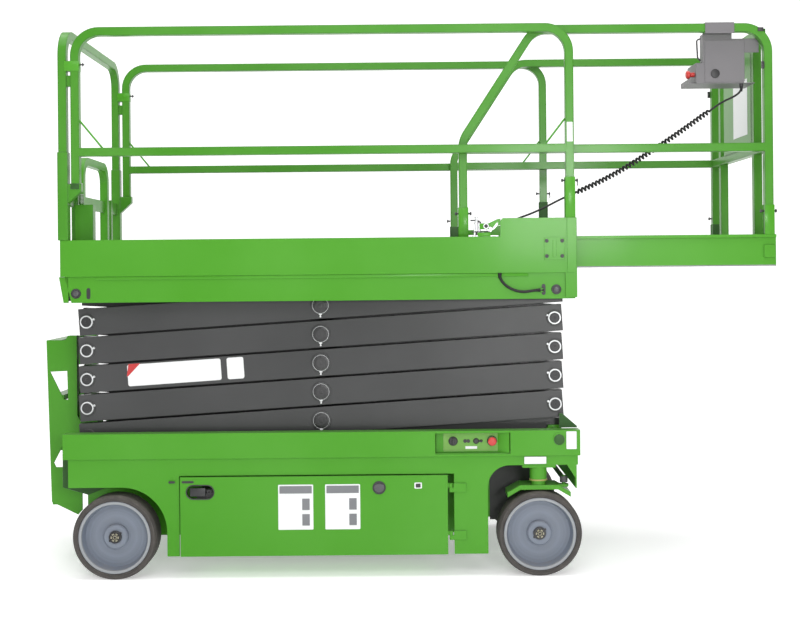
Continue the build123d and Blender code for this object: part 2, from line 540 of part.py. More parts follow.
with BuildPart() as steer_rod:
    rod_y(STEER_CYL_X, STEER_CYL_Z, STEER_ROD_R, (STEER_EYE_Y, STEER_FOOT_Y - 135))
    rod_z(STEER_CYL_X, STEER_EYE_Y, 16, (STEER_CYL_Z - 12, STEER_CYL_Z + 12))
    rod_z(STEER_CYL_X, STEER_EYE_Y, 8, (BRACKET_Z[1] + 1, STEER_CYL_Z + 18))
save(steer_rod.part, "steer_rod")

# ---------------------------------------------------------------- scissor arms
# Each stage is an X: the inner arm climbs towards the rear, the outer arm towards the front.
LEVELS = [BASE_PIN_Z + PITCH * level for level in range(STAGES + 1)]
CROSS_SHARES = (0.08, 0.92)
EYE_CROSS_SHARE = 0.17
LUG_T = 12.0


def arm_point(stage, share, rearwards=True):
    """X and Z of a place on an arm's centre line, counted from the arm's lower end."""
    rise = LEVELS[stage - 1] + share * PITCH
    return (PIVOT_X - share * SPAN if rearwards else SLIDE_X + share * SPAN, rise)


def arm_tube(stage, rearwards, y):
    """One hollow arm with its centre line from the lower to the upper pin."""
    lower, upper = arm_point(stage, 0, rearwards), arm_point(stage, 1, rearwards)
    along = Vector(upper[0] - lower[0], 0, upper[1] - lower[1]).normalized()
    start = Vector(lower[0], (y[0] + y[1]) / 2, lower[1]) - along * ARM_END
    with BuildSketch(Plane(start, x_dir=(0, 1, 0), z_dir=along)) as section:
        Rectangle(y[1] - y[0], ARM_H)
        Rectangle(y[1] - y[0] - 2 * ARM_WALL, ARM_H - 2 * ARM_WALL, mode=Mode.SUBTRACT)
    extrude(section.sketch, amount=ARM_PINS + 2 * ARM_END)


for stage in range(1, STAGES + 1):
    low_end, middle, high_end = (arm_point(stage, share) for share in (0, 0.5, 1))
    with BuildPart() as inner_arm:
        for side in (NEAR, FAR):
            arm_tube(stage, True, span_y(side, INNER_ARM_IN, INNER_ARM_OUT))
            # pins that carry the outer arms, or the slide block at the very top
            pin_out = OUTER_ARM_OUT + BOSS_T + 4
            rod_y(*middle, CENTRE_PIN_R, span_y(side, INNER_ARM_IN - 8, pin_out + 4))
            rod_y(*high_end, PIN_R, span_y(side, INNER_ARM_IN - 8, pin_out))
            if stage == STAGES:
                rod_y(*high_end, SLIDE_PIN_R, span_y(side, pin_out, LOWER_IN + BLOCK_W))
            if stage > 1:
                rod_y(*low_end, PIN_R, span_y(side, INNER_ARM_IN - 8, pin_out))
            else:
                rod_y(*low_end, BOSS_R, span_y(side, INNER_ARM_IN, INNER_ARM_OUT))
                rod_y(*low_end, PIN_R + PIN_PLAY, span_y(side, INNER_ARM_IN, INNER_ARM_OUT), mode=Mode.SUBTRACT)
        for share in CROSS_SHARES:
            rod_y(*arm_point(stage, share), CROSS_R, (-INNER_ARM_IN, INNER_ARM_IN))
        if stage in (1, 3):
            # cross tube the barrel's foot turns on
            rod_y(*arm_point(stage, FOOT_SHARE), CROSS_R, (-INNER_ARM_IN, INNER_ARM_IN))
        if stage in (2, 4):
            # cross tube with the two lugs for the rod's eye
            rod_y(*arm_point(stage, EYE_CROSS_SHARE), CROSS_R, (-INNER_ARM_IN, INNER_ARM_IN))
            eye, tube = arm_point(stage, EYE_SHARE), arm_point(stage, EYE_CROSS_SHARE)
            for side in (NEAR, FAR):
                lug_y = span_y(side, EYE_HALF + GAP, EYE_HALF + GAP + LUG_T)
                side_plate(
                    [(tube[0], tube[1] - CROSS_R), (tube[0], tube[1] + CROSS_R), (eye[0], eye[1] + EYE_R),
                     (eye[0] - EYE_R, eye[1] + 15), (eye[0] - EYE_R, eye[1] - 15), (eye[0], eye[1] - EYE_R)],
                    lug_y,
                )
                rod_y(*eye, PIN_R, span_y(side, EYE_HALF + GAP, EYE_HALF + GAP + LUG_T + 14))
    save(inner_arm.part, f"inner_arms_{stage}")

    low_end, middle, high_end = (arm_point(stage, share, False) for share in (0, 0.5, 1))
    with BuildPart() as outer_arm:
        for side in (NEAR, FAR):
            tube_y = span_y(side, OUTER_ARM_OUT - ARM_W, OUTER_ARM_OUT)
            boss_y = span_y(side, OUTER_ARM_OUT - ARM_W, OUTER_ARM_OUT + BOSS_T)
            arm_tube(stage, False, tube_y)
            rod_y(*middle, CENTRE_BOSS_R, boss_y)
            rod_y(*middle, CENTRE_PIN_R + PIN_PLAY, boss_y, mode=Mode.SUBTRACT)
            rod_y(*high_end, BOSS_R, boss_y)
            rod_y(*high_end, PIN_R + PIN_PLAY, boss_y, mode=Mode.SUBTRACT)
            if stage > 1:
                rod_y(*low_end, BOSS_R, boss_y)
                rod_y(*low_end, PIN_R + PIN_PLAY, boss_y, mode=Mode.SUBTRACT)
            else:
                rod_y(*low_end, BOSS_R, boss_y)
                rod_y(*low_end, SLIDE_PIN_R, span_y(side, OUTER_ARM_OUT, BEAM_IN + BLOCK_W))
    save(outer_arm.part, f"outer_arms_{stage}")

# slide blocks in the chassis beams and in the platform beams
with BuildPart() as lower_slides:
    for side in (NEAR, FAR):
        block_y = span_y(side, BEAM_IN, BEAM_IN + BLOCK_W)
        block((SLIDE_X - BLOCK_LENGTH / 2, SLIDE_X + BLOCK_LENGTH / 2), block_y,
              (TRACK_LEDGE + 1, BEAM_TOP - FLANGE - 1))
        rod_y(SLIDE_X, BASE_PIN_Z, SLIDE_PIN_R + PIN_PLAY, block_y, mode=Mode.SUBTRACT)
save(lower_slides.part, "lower_slides")

UPPER_TRACK = (TOP_PIN_Z - 34, TOP_PIN_Z + 34)
with BuildPart() as upper_slides:
    for side in (NEAR, FAR):
        block_y = span_y(side, LOWER_IN, LOWER_IN + BLOCK_W)
        block((SLIDE_X - BLOCK_LENGTH / 2, SLIDE_X + BLOCK_LENGTH / 2), block_y,
              (UPPER_TRACK[0] + 1, UPPER_TRACK[1] - 1))
        rod_y(SLIDE_X, TOP_PIN_Z, SLIDE_PIN_R + PIN_PLAY, block_y, mode=Mode.SUBTRACT)
save(upper_slides.part, "upper_slides")

# ---------------------------------------------------------------- lift cylinders
for name, stage in {"lower": 1, "upper": 3}.items():
    foot, eye = arm_point(stage, FOOT_SHARE), arm_point(stage + 1, EYE_SHARE)
    line = Vector(eye[0] - foot[0], 0, eye[1] - foot[1])
    along, reach = line.normalized(), line.length
    axis_plane = Plane((foot[0], 0, foot[1]), x_dir=(0, 1, 0), z_dir=along)
    with BuildPart() as barrel:
        with BuildSketch(axis_plane.offset(CROSS_R + 8)) as tube:
            Circle(BARREL_R)
        extrude(tube.sketch, amount=BARREL_LENGTH - CROSS_R - 8)
        rod_y(*foot, CROSS_R + 18, (-EYE_HALF, EYE_HALF))
        with BuildSketch(axis_plane.offset(CROSS_R + 40)) as bore:
            Circle(BORE_R)
        extrude(bore.sketch, amount=BARREL_LENGTH - CROSS_R - 60, mode=Mode.SUBTRACT)
        with BuildSketch(axis_plane.offset(BARREL_LENGTH - 30)) as gland:
            Circle(ROD_R + PIN_PLAY)
        extrude(gland.sketch, amount=40, mode=Mode.SUBTRACT)
        rod_y(*foot, CROSS_R + PIN_PLAY, (-EYE_HALF, EYE_HALF), mode=Mode.SUBTRACT)
    save(barrel.part, f"{name}_lift_barrel")
    with BuildPart() as rod:
        with BuildSketch(axis_plane.offset(160)) as shaft:
            Circle(ROD_R)
        extrude(shaft.sketch, amount=reach - 160)
        with BuildSketch(axis_plane.offset(150)) as piston:
            Circle(BORE_R - PIN_PLAY)
        extrude(piston.sketch, amount=30)
        rod_y(*eye, EYE_R, (-EYE_HALF, EYE_HALF))
        rod_y(*eye, PIN_R, (-EYE_HALF - 4, EYE_HALF + 4))
    save(rod.part, f"{name}_lift_rod")

# ---------------------------------------------------------------- platform frame
DECK_REAR, DECK_FRONT = at(-DECK_TAIL), at(DECK_NOSE)
LOWER_X = (at(-LOWER_TAIL), at(LOWER_NOSE))
POST_X = (DECK_FRONT - POST_W, DECK_FRONT)
RAISED_X = at(RAISED_FROM)
GATE_HALF = 330.0          # half width of the entrance
POST_INNER, POST_DEEP = FLOOR_HALF - 45.0, 40.0        # rear corner posts of the toe boards
FLOOR_SPAN = (FLOOR_Z - FLOOR_T, FLOOR_Z)
DECK_CABLE_D = 11.0
DECK_CABLE_Y = -LOWER_OUT - 6.5
DECK_GLAND, DECK_GLAND_Z = 1932.0, TOP_PIN_Z - 3.0

with BuildPart() as deck_frame:
    for side in (NEAR, FAR):
        # lower beam: a channel that the upper slide blocks run in
        web_y = span_y(side, LOWER_OUT - SHEET, LOWER_OUT)
        flange_y = span_y(side, LOWER_IN, LOWER_OUT - SHEET)
        side_plate(
            [(LOWER_X[0], TOE_LOW), (LOWER_X[0] + 30, LOWER_BEAM_LOW), (LOWER_X[1], LOWER_BEAM_LOW),
             (LOWER_X[1], TOE_LOW)],
            web_y,
        )
        block((LOWER_X[0] + 30, LOWER_X[1]), flange_y, (LOWER_BEAM_LOW, UPPER_TRACK[0]))
        block((LOWER_X[0], LOWER_X[1]), flange_y, (UPPER_TRACK[1], UPPER_TRACK[1] + FLANGE))
        block((LOWER_X[0], LOWER_X[1]), flange_y, (TOE_LOW - FLANGE, TOE_LOW))
        block((LOWER_X[1] - SHEET, LOWER_X[1]), flange_y, (LOWER_BEAM_LOW, TOE_LOW))
        # toe board with its raised front part
        side_plate(
            [(DECK_REAR, TOE_LOW), (POST_X[0], TOE_LOW), (POST_X[0], TOE_RAISED), (RAISED_X + 12, TOE_RAISED),
             (RAISED_X, TOE_RAISED - 12), (RAISED_X, TOE_TOP), (DECK_REAR, TOE_TOP)],
            span_y(side, FLOOR_HALF, DECK_HALF),
        )
        block((DECK_REAR, POST_X[0]), span_y(side, LOWER_IN, FLOOR_HALF), (TOE_LOW, TOE_LOW + SHEET))
        block((DECK_REAR, POST_X[0]), span_y(side, FLOOR_HALF - 22, FLOOR_HALF), (TOE_TOP - SHEET, TOE_TOP))
        # front corner strip and rear corner post
        block(POST_X, span_y(side, FLOOR_HALF, DECK_HALF), (LOWER_BEAM_LOW + SHEET, TOE_RAISED))
        block((DECK_FRONT - SHEET, DECK_FRONT), span_y(side, EXT_BEAM_OUT + GAP, FLOOR_HALF),
              (LOWER_BEAM_LOW + SHEET, TOE_RAISED))
        block((LOWER_X[1], DECK_FRONT - SHEET), span_y(side, LOWER_OUT - SHEET, FLOOR_HALF),
              (LOWER_BEAM_LOW + SHEET, TOE_LOW))
        block(POST_X, span_y(side, MAIN_RAIL_Y - TUBE / 2, FLOOR_HALF), (TOE_RAISED - SHEET, TOE_RAISED))
        block((DECK_REAR, DECK_REAR + POST_DEEP), span_y(side, POST_INNER, FLOOR_HALF), (TOE_LOW + SHEET, TOE_TOP))
        # fixed pivot for the top outer arm
        side_plate(
            [(PIVOT_X - 60, TOE_LOW), (PIVOT_X - 30, TOP_PIN_Z - 32), (PIVOT_X + 30, TOP_PIN_Z - 32),
             (PIVOT_X + 60, TOE_LOW)],
            span_y(side, OUTER_ARM_OUT + BOSS_T + GAP, LOWER_IN),
        )
        rod_y(PIVOT_X, TOP_PIN_Z, PIN_R, span_y(side, OUTER_ARM_OUT - ARM_W, LOWER_OUT - SHEET))
    # gland the deck cable runs into
    block((at(DECK_GLAND), at(DECK_GLAND) + 14), (DECK_CABLE_Y - 8, -LOWER_OUT), (DECK_GLAND_Z - 8, DECK_GLAND_Z + 8))
    # rear toe board, lower in the entrance
    block((DECK_REAR, DECK_REAR + SHEET), (-FLOOR_HALF, FLOOR_HALF), (TOE_LOW, FLOOR_Z - FLOOR_T))
    for side in (NEAR, FAR):
        block((DECK_REAR, DECK_REAR + SHEET), span_y(side, GATE_HALF, FLOOR_HALF), (FLOOR_Z - FLOOR_T, TOE_TOP))
    # cross members under the floor
    for x in (at(-180), at(200), at(580), at(960), at(1340), at(1720), at(2000)):
        block((x, x + 40), (-LOWER_IN, LOWER_IN), (TOE_LOW, FLOOR_Z - FLOOR_T))
        block((x, x + FLANGE), (-INNER_ARM_IN + 12, INNER_ARM_IN - 12), (TOE_LOW - 40, TOE_LOW))
save(deck_frame.part, "deck_frame")

with BuildPart() as deck_floor:
    block((DECK_REAR + SHEET, DECK_FRONT - SHEET), (-POST_INNER, POST_INNER), FLOOR_SPAN)
    for side in (NEAR, FAR):
        # the rear corners are cut out round the corner posts
        block((DECK_REAR + POST_DEEP, DECK_FRONT - SHEET), span_y(side, POST_INNER, FLOOR_HALF), FLOOR_SPAN)
save(deck_floor.part, "deck_floor")

# ---------------------------------------------------------------- guardrails
UP = (0, 0, 1)
REAR_FOOT_Z = TOE_TOP + 255.0
for name, side in SIDES.items():
    y = side * MAIN_RAIL_Y
    front_leg, rear_leg = at(MAIN_FRONT_LEG), at(MAIN_REAR_LEG)
    with BuildPart() as rail:
        square_tube(
            [(front_leg, y, TOE_RAISED), (front_leg, y, RAIL_TOP), (rear_leg, y, RAIL_TOP),
             (rear_leg, y, REAR_FOOT_Z)],
            [RAIL_BEND, RAIL_BEND], (0, 1, 0), UP,
        )
        straight_tube((rear_leg + TUBE / 2, y, RAIL_MID), (front_leg - TUBE / 2, y, RAIL_MID), "X")
    save(rail.part, f"{name}_rail")

POST_X_GATE = at(GATE_POST)
WIDE = 46.0
GATE_HINGE_Y = 292.0
GATE_X = at(-222)
GATE_TOP = RAIL_MID - 11.0
GATE_FOOT = FLOOR_Z + 37.0
GATE_PLATE = (TOE_TOP + 157.0, TOE_TOP + 217.0)     # crossbar of the gate, and the lugs beside it
GATE_LEG = 245.0           # middles of the gate's legs from the middle plane
GATE_HINGES = (TOE_TOP + 27.0, TOE_TOP + 192.0)
KNUCKLE = 20.0             # height of one hinge knuckle
with BuildPart() as gate_frame:
    square_tube(
        [(POST_X_GATE, -MAIN_RAIL_Y, RAIL_MID), (POST_X_GATE, -MAIN_RAIL_Y, RAIL_TOP),
         (POST_X_GATE, MAIN_RAIL_Y, RAIL_TOP), (POST_X_GATE, MAIN_RAIL_Y, RAIL_MID)],
        [RAIL_BEND, RAIL_BEND], (1, 0, 0), UP,
    )
    for side in (NEAR, FAR):
        y = side * MAIN_RAIL_Y
        block((POST_X_GATE - WIDE / 2, POST_X_GATE + WIDE / 2), (y - WIDE / 2, y + WIDE / 2), (TOE_TOP, RAIL_MID))
        # foot bracket of the side rail, on a gusset
        side_plate(
            [(POST_X_GATE + WIDE / 2, REAR_FOOT_Z - 88), (at(MAIN_REAR_LEG) + 26, REAR_FOOT_Z - 33),
             (at(MAIN_REAR_LEG) + 26, REAR_FOOT_Z),
             (POST_X_GATE + WIDE / 2, REAR_FOOT_Z)],
            (y - TUBE / 2, y + TUBE / 2),
        )
        # upper bracket
        block((POST_X_GATE + TUBE / 2, at(MAIN_REAR_LEG) - TUBE / 2), (y - 12, y + 12), (RAIL_TOP - 248, RAIL_TOP - 198))
    # posts beside the entrance
    for side in (NEAR, FAR):
        block((GATE_X - 15, GATE_X + 15), span_y(side, GATE_HALF, GATE_HALF + 30), (TOE_TOP, TOE_TOP + 227))
        block((GATE_X - 3, GATE_X + 3), span_y(side, GATE_HALF + 30, MAIN_RAIL_Y - WIDE / 2), GATE_PLATE)
    # folded box of the latch post, with its spring pin
    block((at(-205), at(-120)), (-430, -380), (TOE_TOP, TOE_TOP + 167))
    rod_z(at(-180), -405, 9, (TOE_TOP + 167, TOE_TOP + 237))
    for z in GATE_HINGES:
        rod_z(GATE_X, GATE_HINGE_Y, 8, (z, z + KNUCKLE))
        rod_z(GATE_X, GATE_HINGE_Y, HINGE_PIN_R, (z + KNUCKLE, z + 2 * KNUCKLE))
        block((GATE_X - 3, GATE_X + 3), (GATE_HINGE_Y, GATE_HALF), (z, z + KNUCKLE))
save(gate_frame.part, "gate_frame")

with BuildPart() as gate:
    square_tube(
        [(GATE_X, -GATE_LEG, GATE_FOOT), (GATE_X, -GATE_LEG, GATE_TOP), (GATE_X, GATE_LEG, GATE_TOP),
         (GATE_X, GATE_LEG, GATE_FOOT)],
        [80, 80], (1, 0, 0), UP,
    )
    for z in (GATE_PLATE, (GATE_FOOT, GATE_FOOT + 100)):
        block((GATE_X - 4, GATE_X + 4), (-GATE_LEG + TUBE / 2, GATE_LEG - TUBE / 2), z)
    for z in GATE_HINGES:
        knuckle_z = (z + KNUCKLE + PIN_PLAY, z + 2 * KNUCKLE)
        block((GATE_X - 3, GATE_X + 3), (GATE_LEG + TUBE / 2, GATE_HINGE_Y), knuckle_z)
        rod_z(GATE_X, GATE_HINGE_Y, 8, knuckle_z)
        rod_z(GATE_X, GATE_HINGE_Y, HINGE_PIN_R + PIN_PLAY, knuckle_z, mode=Mode.SUBTRACT)
save(gate.part, "gate")

# ---------------------------------------------------------------- extension deck
EXT_X = (at(EXT_NOSE - EXT_LENGTH), at(EXT_NOSE))
EXT_POST_IN = EXT_RAIL_Y - TUBE / 2
TREAD_T = 2.0
with BuildPart() as extension_frame:
    for side in (NEAR, FAR):
        block(EXT_X, span_y(side, EXT_POST_IN, EXT_BEAM_OUT), (TOE_TOP - 14, TOE_TOP))
        block(EXT_X, span_y(side, EXT_BEAM_OUT - 14, EXT_BEAM_OUT - 8), (EXT_LOW, TOE_TOP - 14))
        block(EXT_X, span_y(side, EXT_POST_IN, EXT_BEAM_OUT - 14), (EXT_LOW, EXT_LOW + SHEET))
        block((EXT_X[1] - 56, EXT_X[1] - 6), span_y(side, EXT_BEAM_OUT - 8, EXT_BEAM_OUT),
              (TOE_TOP - 105, TOE_TOP - 49))
    block((EXT_X[1] - SHEET, EXT_X[1]), (-EXT_BEAM_OUT + 14, EXT_BEAM_OUT - 14), (EXT_LOW, TOE_TOP - 14))
save(extension_frame.part, "extension_frame")

with BuildPart() as extension_floor:
    block(EXT_X, (-EXT_BEAM_OUT + 8, EXT_BEAM_OUT - 8), (EXT_LOW - SHEET, EXT_LOW))
    # tread field between the beams' lower flanges
    tread_half = EXT_POST_IN - GAP
    block((EXT_X[0] + GAP, EXT_X[1] - 2 * GAP), (-tread_half, tread_half), (EXT_LOW, EXT_LOW + TREAD_T))
save(extension_floor.part, "extension_floor")

for name, side in SIDES.items():
    y = side * EXT_RAIL_Y
    front_leg, bent_leg = at(EXT_FRONT_LEG), at(EXT_BENT_LEG)
    with BuildPart() as rail:
        square_tube(
            [(front_leg, y, TOE_TOP), (front_leg, y, RAIL_TOP), (at(EXT_BENT_TOP), y, RAIL_TOP),
             (bent_leg, y, EXT_BENT_KNEE), (bent_leg, y, TOE_TOP)],
            [RAIL_BEND, RAIL_BEND, RAIL_BEND], (0, 1, 0), UP,
        )
        straight_tube((bent_leg + TUBE / 2, y, RAIL_MID), (front_leg - TUBE / 2, y, RAIL_MID), "X")
    save(rail.part, f"{name}_extension_rail")

FRONT_POST_Y = 312.0
with BuildPart() as front_rail:
    x = at(EXT_FRONT_LEG)
    straight_tube((x - 20, -EXT_POST_IN, RAIL_TOP - TUBE / 2), (x - 20, EXT_POST_IN, RAIL_TOP - TUBE / 2),
                  "Y")
    straight_tube((x, -EXT_POST_IN, RAIL_MID), (x, EXT_POST_IN, RAIL_MID), "Y")
    for side in (NEAR, FAR):
        straight_tube((x, side * FRONT_POST_Y, TOE_TOP), (x, side * FRONT_POST_Y, RAIL_MID - TUBE / 2), "Z")
        straight_tube((x, side * FRONT_POST_Y, RAIL_MID + TUBE / 2), (x, side * FRONT_POST_Y, RAIL_TOP - TUBE), "Z")
    # the posts stand on a cross bar of the extension
    block((x - TUBE / 2, x + TUBE / 2), (-EXT_POST_IN, EXT_POST_IN), (TOE_TOP - 14, TOE_TOP))
    # sheet panel behind the posts
    block((x - TUBE / 2 - 2, x - TUBE / 2), (-FRONT_POST_Y + 20, FRONT_POST_Y - 97),
          (RAIL_MID + TUBE / 2, RAIL_TOP - TUBE - 2))
save(front_rail.part, "front_rail")

# ---------------------------------------------------------------- platform control box
BOX_X = (at(EXT_FRONT_LEG - 319), at(EXT_FRONT_LEG - 99))
BOX_Y = (-EXT_POST_IN + 7, -EXT_POST_IN + 183)
BOX_Z = (RAIL_TOP - 246, RAIL_TOP - 154)
NECK_X = (BOX_X[0] + 32, BOX_X[0] + 165)
HOOK_T = 3.0
TRAY_ENDS = (BOX_X[0] - 32, BOX_X[1] + 50)             # drip tray under the box
CORD_Y = -EXT_POST_IN + 18
CORD_START = (BOX_X[1] - 10, CORD_Y, BOX_Z[0] - 16)
CORD_FINISH = (at(EXT_BENT_LEG + 195), CORD_Y, TOE_TOP + 12)

with BuildPart() as control_box:
    block(BOX_X, BOX_Y, BOX_Z)
    block(NECK_X, (BOX_Y[0], BOX_Y[0] + 60), (BOX_Z[1], RAIL_TOP - TUBE / 2 - 2))
    # hook over the top rail
    rail_top = RAIL_TOP + TUBE / 2 + 1
    block(NECK_X, (-EXT_RAIL_Y - TUBE / 2 - 1 - HOOK_T, BOX_Y[0] + HOOK_T), (rail_top, rail_top + HOOK_T))
    block(NECK_X, (BOX_Y[0], BOX_Y[0] + HOOK_T), (RAIL_TOP - TUBE / 2 - 2, rail_top))
    block(NECK_X, (-EXT_RAIL_Y - TUBE / 2 - 1 - HOOK_T, -EXT_RAIL_Y - TUBE / 2 - 1),
          (RAIL_TOP - TUBE / 2 - 8, rail_top))
    # side wing and drip tray
    block((NECK_X[1], BOX_X[1] + 69), (BOX_Y[0], BOX_Y[0] + HOOK_T), (RAIL_TOP - 108, RAIL_TOP - 44))
    block(TRAY_ENDS, BOX_Y, (BOX_Z[0] - HOOK_T, BOX_Z[0]))
    block((TRAY_ENDS[0], TRAY_ENDS[0] + HOOK_T), BOX_Y, (BOX_Z[0], BOX_Z[0] + 20))
save(control_box.part, "control_box")

with BuildPart() as box_controls:
    # joystick with its boot, rocker knobs and the round socket on the face
    stick_x, stick_y = (BOX_X[0] + BOX_X[1]) / 2, BOX_Y[1] - 55
    with Locations((stick_x, stick_y, BOX_Z[1] + 14)):
        Cone(26, 10, 28)
    rod_z(stick_x, stick_y, 8, (BOX_Z[1] + 28, BOX_Z[1] + 70))
    rod_z(stick_x, stick_y, 16, (BOX_Z[1] + 70, BOX_Z[1] + 110))
    for shift in (-75, -50, 50, 75):
        rod_z(stick_x + shift, stick_y, 8, (BOX_Z[1], BOX_Z[1] + 10))
    rod_y(BOX_X[0] + 87, BOX_Z[0] + 40, 19, (BOX_Y[0] - 4, BOX_Y[0]))
    # glands where the curly cord leaves the box and enters the extension's beam
    rod_z(*CORD_START[:2], 9, (CORD_START[2], BOX_Z[0] - HOOK_T))
    rod_z(*CORD_FINISH[:2], 9, (TOE_TOP, CORD_FINISH[2]))
    block((CORD_FINISH[0] - 20, CORD_FINISH[0] + 20), (-EXT_POST_IN, CORD_Y + 15), (TOE_TOP - 40, TOE_TOP))
save(box_controls.part, "box_controls")

with BuildPart() as box_stop:
    stop_at = (BOX_X[0], BOX_Y[0] + 40, BOX_Z[0] + 43)
    revolve(stop_button(Plane(origin=stop_at, x_dir=(0, 0, 1), z_dir=(0, 1, 0)), -40),
            axis=Axis(stop_at, (1, 0, 0)), revolution_arc=360)
save(box_stop.part, "box_stop")

# ---------------------------------------------------------------- extension lock on the near toe board
LOCK_Y = DECK_HALF - 15.0      # middle of the lock bar from the middle plane
LOCK_X = at(RAISED_FROM - 97)      # spring pin of the lock
BAR_Y = (-LOCK_Y - 7, -LOCK_Y + 7)
with BuildPart() as extension_lock:
    block((LOCK_X - 28, RAISED_X - 8), (-LOCK_Y - 13, -LOCK_Y + 13), (TOE_TOP, TOE_TOP + 5))
    block((LOCK_X - 22, LOCK_X - 16), (-LOCK_Y - 9, -LOCK_Y + 11), (TOE_TOP + 5, TOE_TOP + 58))
    rod_z(LOCK_X, -LOCK_Y, 11, (TOE_TOP + 5, TOE_TOP + 62))
    rod_z(LOCK_X, -LOCK_Y, 4, (TOE_TOP + 62, TOE_TOP + 76))
    block((LOCK_X, LOCK_X + 60), BAR_Y, (TOE_TOP + 26, TOE_TOP + 34))
    rod_y(LOCK_X + 50, TOE_TOP + 32, 12, (-LOCK_Y - 9, -LOCK_Y + 9))
    side_plate(
        [(LOCK_X + 60, TOE_TOP + 26), (LOCK_X + 60, TOE_TOP + 36), (RAISED_X - 12, TOE_TOP + 66),
         (RAISED_X - 12, TOE_TOP + 48)],
        BAR_Y,
    )
save(extension_lock.part, "extension_lock")


# ---------------------------------------------------------------- cords
def cord(points, diameter, radii):
    """A round cord along straight runs joined by arcs."""
    with BuildLine() as path:
        FilletPolyline(*points, radius=radii)
    start = Vector(*points[1]) - Vector(*points[0])
    with BuildSketch(Plane(points[0], z_dir=start)) as section:
        Circle(diameter / 2)
    sweep(section.sketch, path=path.line)


def bend_radii(points):
    """The largest arc each corner allows: 0.45 of its shorter run over the tangent of half the turn."""
    radii = []
    for before, corner, after in zip(points, points[1:], points[2:]):
        run_in, run_out = Vector(*corner) - Vector(*before), Vector(*after) - Vector(*corner)
        turn = run_in.get_angle(run_out)
        radii.append(0.45 * min(run_in.length, run_out.length) / tan(radians(turn / 2)))
    return radii


CORD_D, COIL_D = 6.5, 22.0


def cord_point(run, drop):
    """A point of the curly cord: shares of the way along and of the drop, both from its lower end."""
    return (CORD_FINISH[0] + run * (CORD_START[0] - CORD_FINISH[0]), CORD_Y,
            CORD_FINISH[2] + drop * (CORD_START[2] - CORD_FINISH[2]))


CORD_LEAD = [cord_point(*shares) for shares in (
    (1, 1), (1, 0.9702), (0.9744, 0.9329), (0.9168, 0.8934), (0.8683, 0.8376))]
CORD_COIL = [cord_point(*shares) for shares in (
    (0.8683, 0.8376), (0.7338, 0.6826), (0.6075, 0.5484), (0.4812, 0.4203), (0.355, 0.3189), (0.2955, 0.2787))]
CORD_TAIL = [cord_point(*shares) for shares in (
    (0.2955, 0.2787), (0.2306, 0.2347), (0.1665, 0.1803), (0.1034, 0.1356), (0.0476, 0.1058), (0.0146, 0.07),
    (0, 0.0298), (0, 0))]
DECK_CABLE = [
    (at(1749), DECK_CABLE_Y, TOE_LOW), (at(1749), DECK_CABLE_Y, 1343), (at(1772), DECK_CABLE_Y, 1312),
    (at(1808), DECK_CABLE_Y, 1290), (at(1856), DECK_CABLE_Y, 1279), (at(1905), DECK_CABLE_Y, DECK_GLAND_Z),
    (at(DECK_GLAND), DECK_CABLE_Y, DECK_GLAND_Z),
]

CORDS = {
    "cord_lead": (CORD_LEAD, CORD_D), "cord_coil": (CORD_COIL, COIL_D),
    "cord_tail": (CORD_TAIL, CORD_D), "deck_cable": (DECK_CABLE, DECK_CABLE_D),
}
for label, (route, diameter) in CORDS.items():
    radii = bend_radii(route)
    with BuildPart() as cord_part:
        cord(route, diameter, radii)
    print(label, "radii", [round(radius) for radius in radii], "volume", round(cord_part.part.volume))
    save(cord_part.part, label)
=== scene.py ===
# %% [markdown]
# # A stowed scissor lift
#
# The solids arrive ready made and in place.  What is left is what a camera sees from a step away: paint,
# rubber and bare steel with their wear, and the small things that are bolted, pinned or stuck on.

# %% Load the fixed frame
import json
from math import cos, pi, radians, sin

import bmesh
import bpy
from mathutils import Matrix, Vector


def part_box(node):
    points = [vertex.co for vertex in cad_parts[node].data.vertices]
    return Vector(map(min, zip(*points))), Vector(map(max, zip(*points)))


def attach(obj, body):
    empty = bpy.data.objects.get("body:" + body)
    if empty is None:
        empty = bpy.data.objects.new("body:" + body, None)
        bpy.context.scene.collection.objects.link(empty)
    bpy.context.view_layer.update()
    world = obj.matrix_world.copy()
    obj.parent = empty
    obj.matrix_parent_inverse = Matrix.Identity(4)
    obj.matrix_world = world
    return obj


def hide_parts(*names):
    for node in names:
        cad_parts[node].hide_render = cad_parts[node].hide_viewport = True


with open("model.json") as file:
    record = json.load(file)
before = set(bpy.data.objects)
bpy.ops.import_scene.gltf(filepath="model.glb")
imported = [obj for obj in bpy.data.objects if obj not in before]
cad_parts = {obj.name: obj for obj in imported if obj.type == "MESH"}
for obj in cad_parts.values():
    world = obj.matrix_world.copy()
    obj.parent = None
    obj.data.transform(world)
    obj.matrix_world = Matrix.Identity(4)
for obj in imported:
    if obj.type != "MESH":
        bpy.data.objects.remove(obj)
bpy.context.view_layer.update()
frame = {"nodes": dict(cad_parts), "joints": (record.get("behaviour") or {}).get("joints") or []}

# %% [markdown]
# Joints give the axes of pins and wheels, and solids give most faces.  Everything else is a distance forward
# of the rear axle, the way a fitter would measure along the machine.

# %% Places
MM = 0.001
NEAR, FAR = -1, 1
SIDES = {"near": NEAR, "far": FAR}
axes = {joint["name"]: Vector(joint["pos_m"]) for joint in frame["joints"] if "pos_m" in joint}
AXLES = {axle: axes[f"near_{axle}_wheel_spin"] for axle in ("rear", "front")}


def at(mm):
    """X of a place counted forward from the rear axle, in millimetres."""
    return AXLES["rear"].x + mm * MM


def reach_of(node):
    """How far out from the middle of the machine a solid reaches."""
    return max(abs(corner.y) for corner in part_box(node))


def middle_y(node):
    return sum(corner.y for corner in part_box(node)) / 2


def new_object(name, data):
    made = bpy.data.objects.new(name, data)
    bpy.context.scene.collection.objects.link(made)
    return made


print("wheelbase", round(AXLES["front"].x - AXLES["rear"].x, 3), "m")

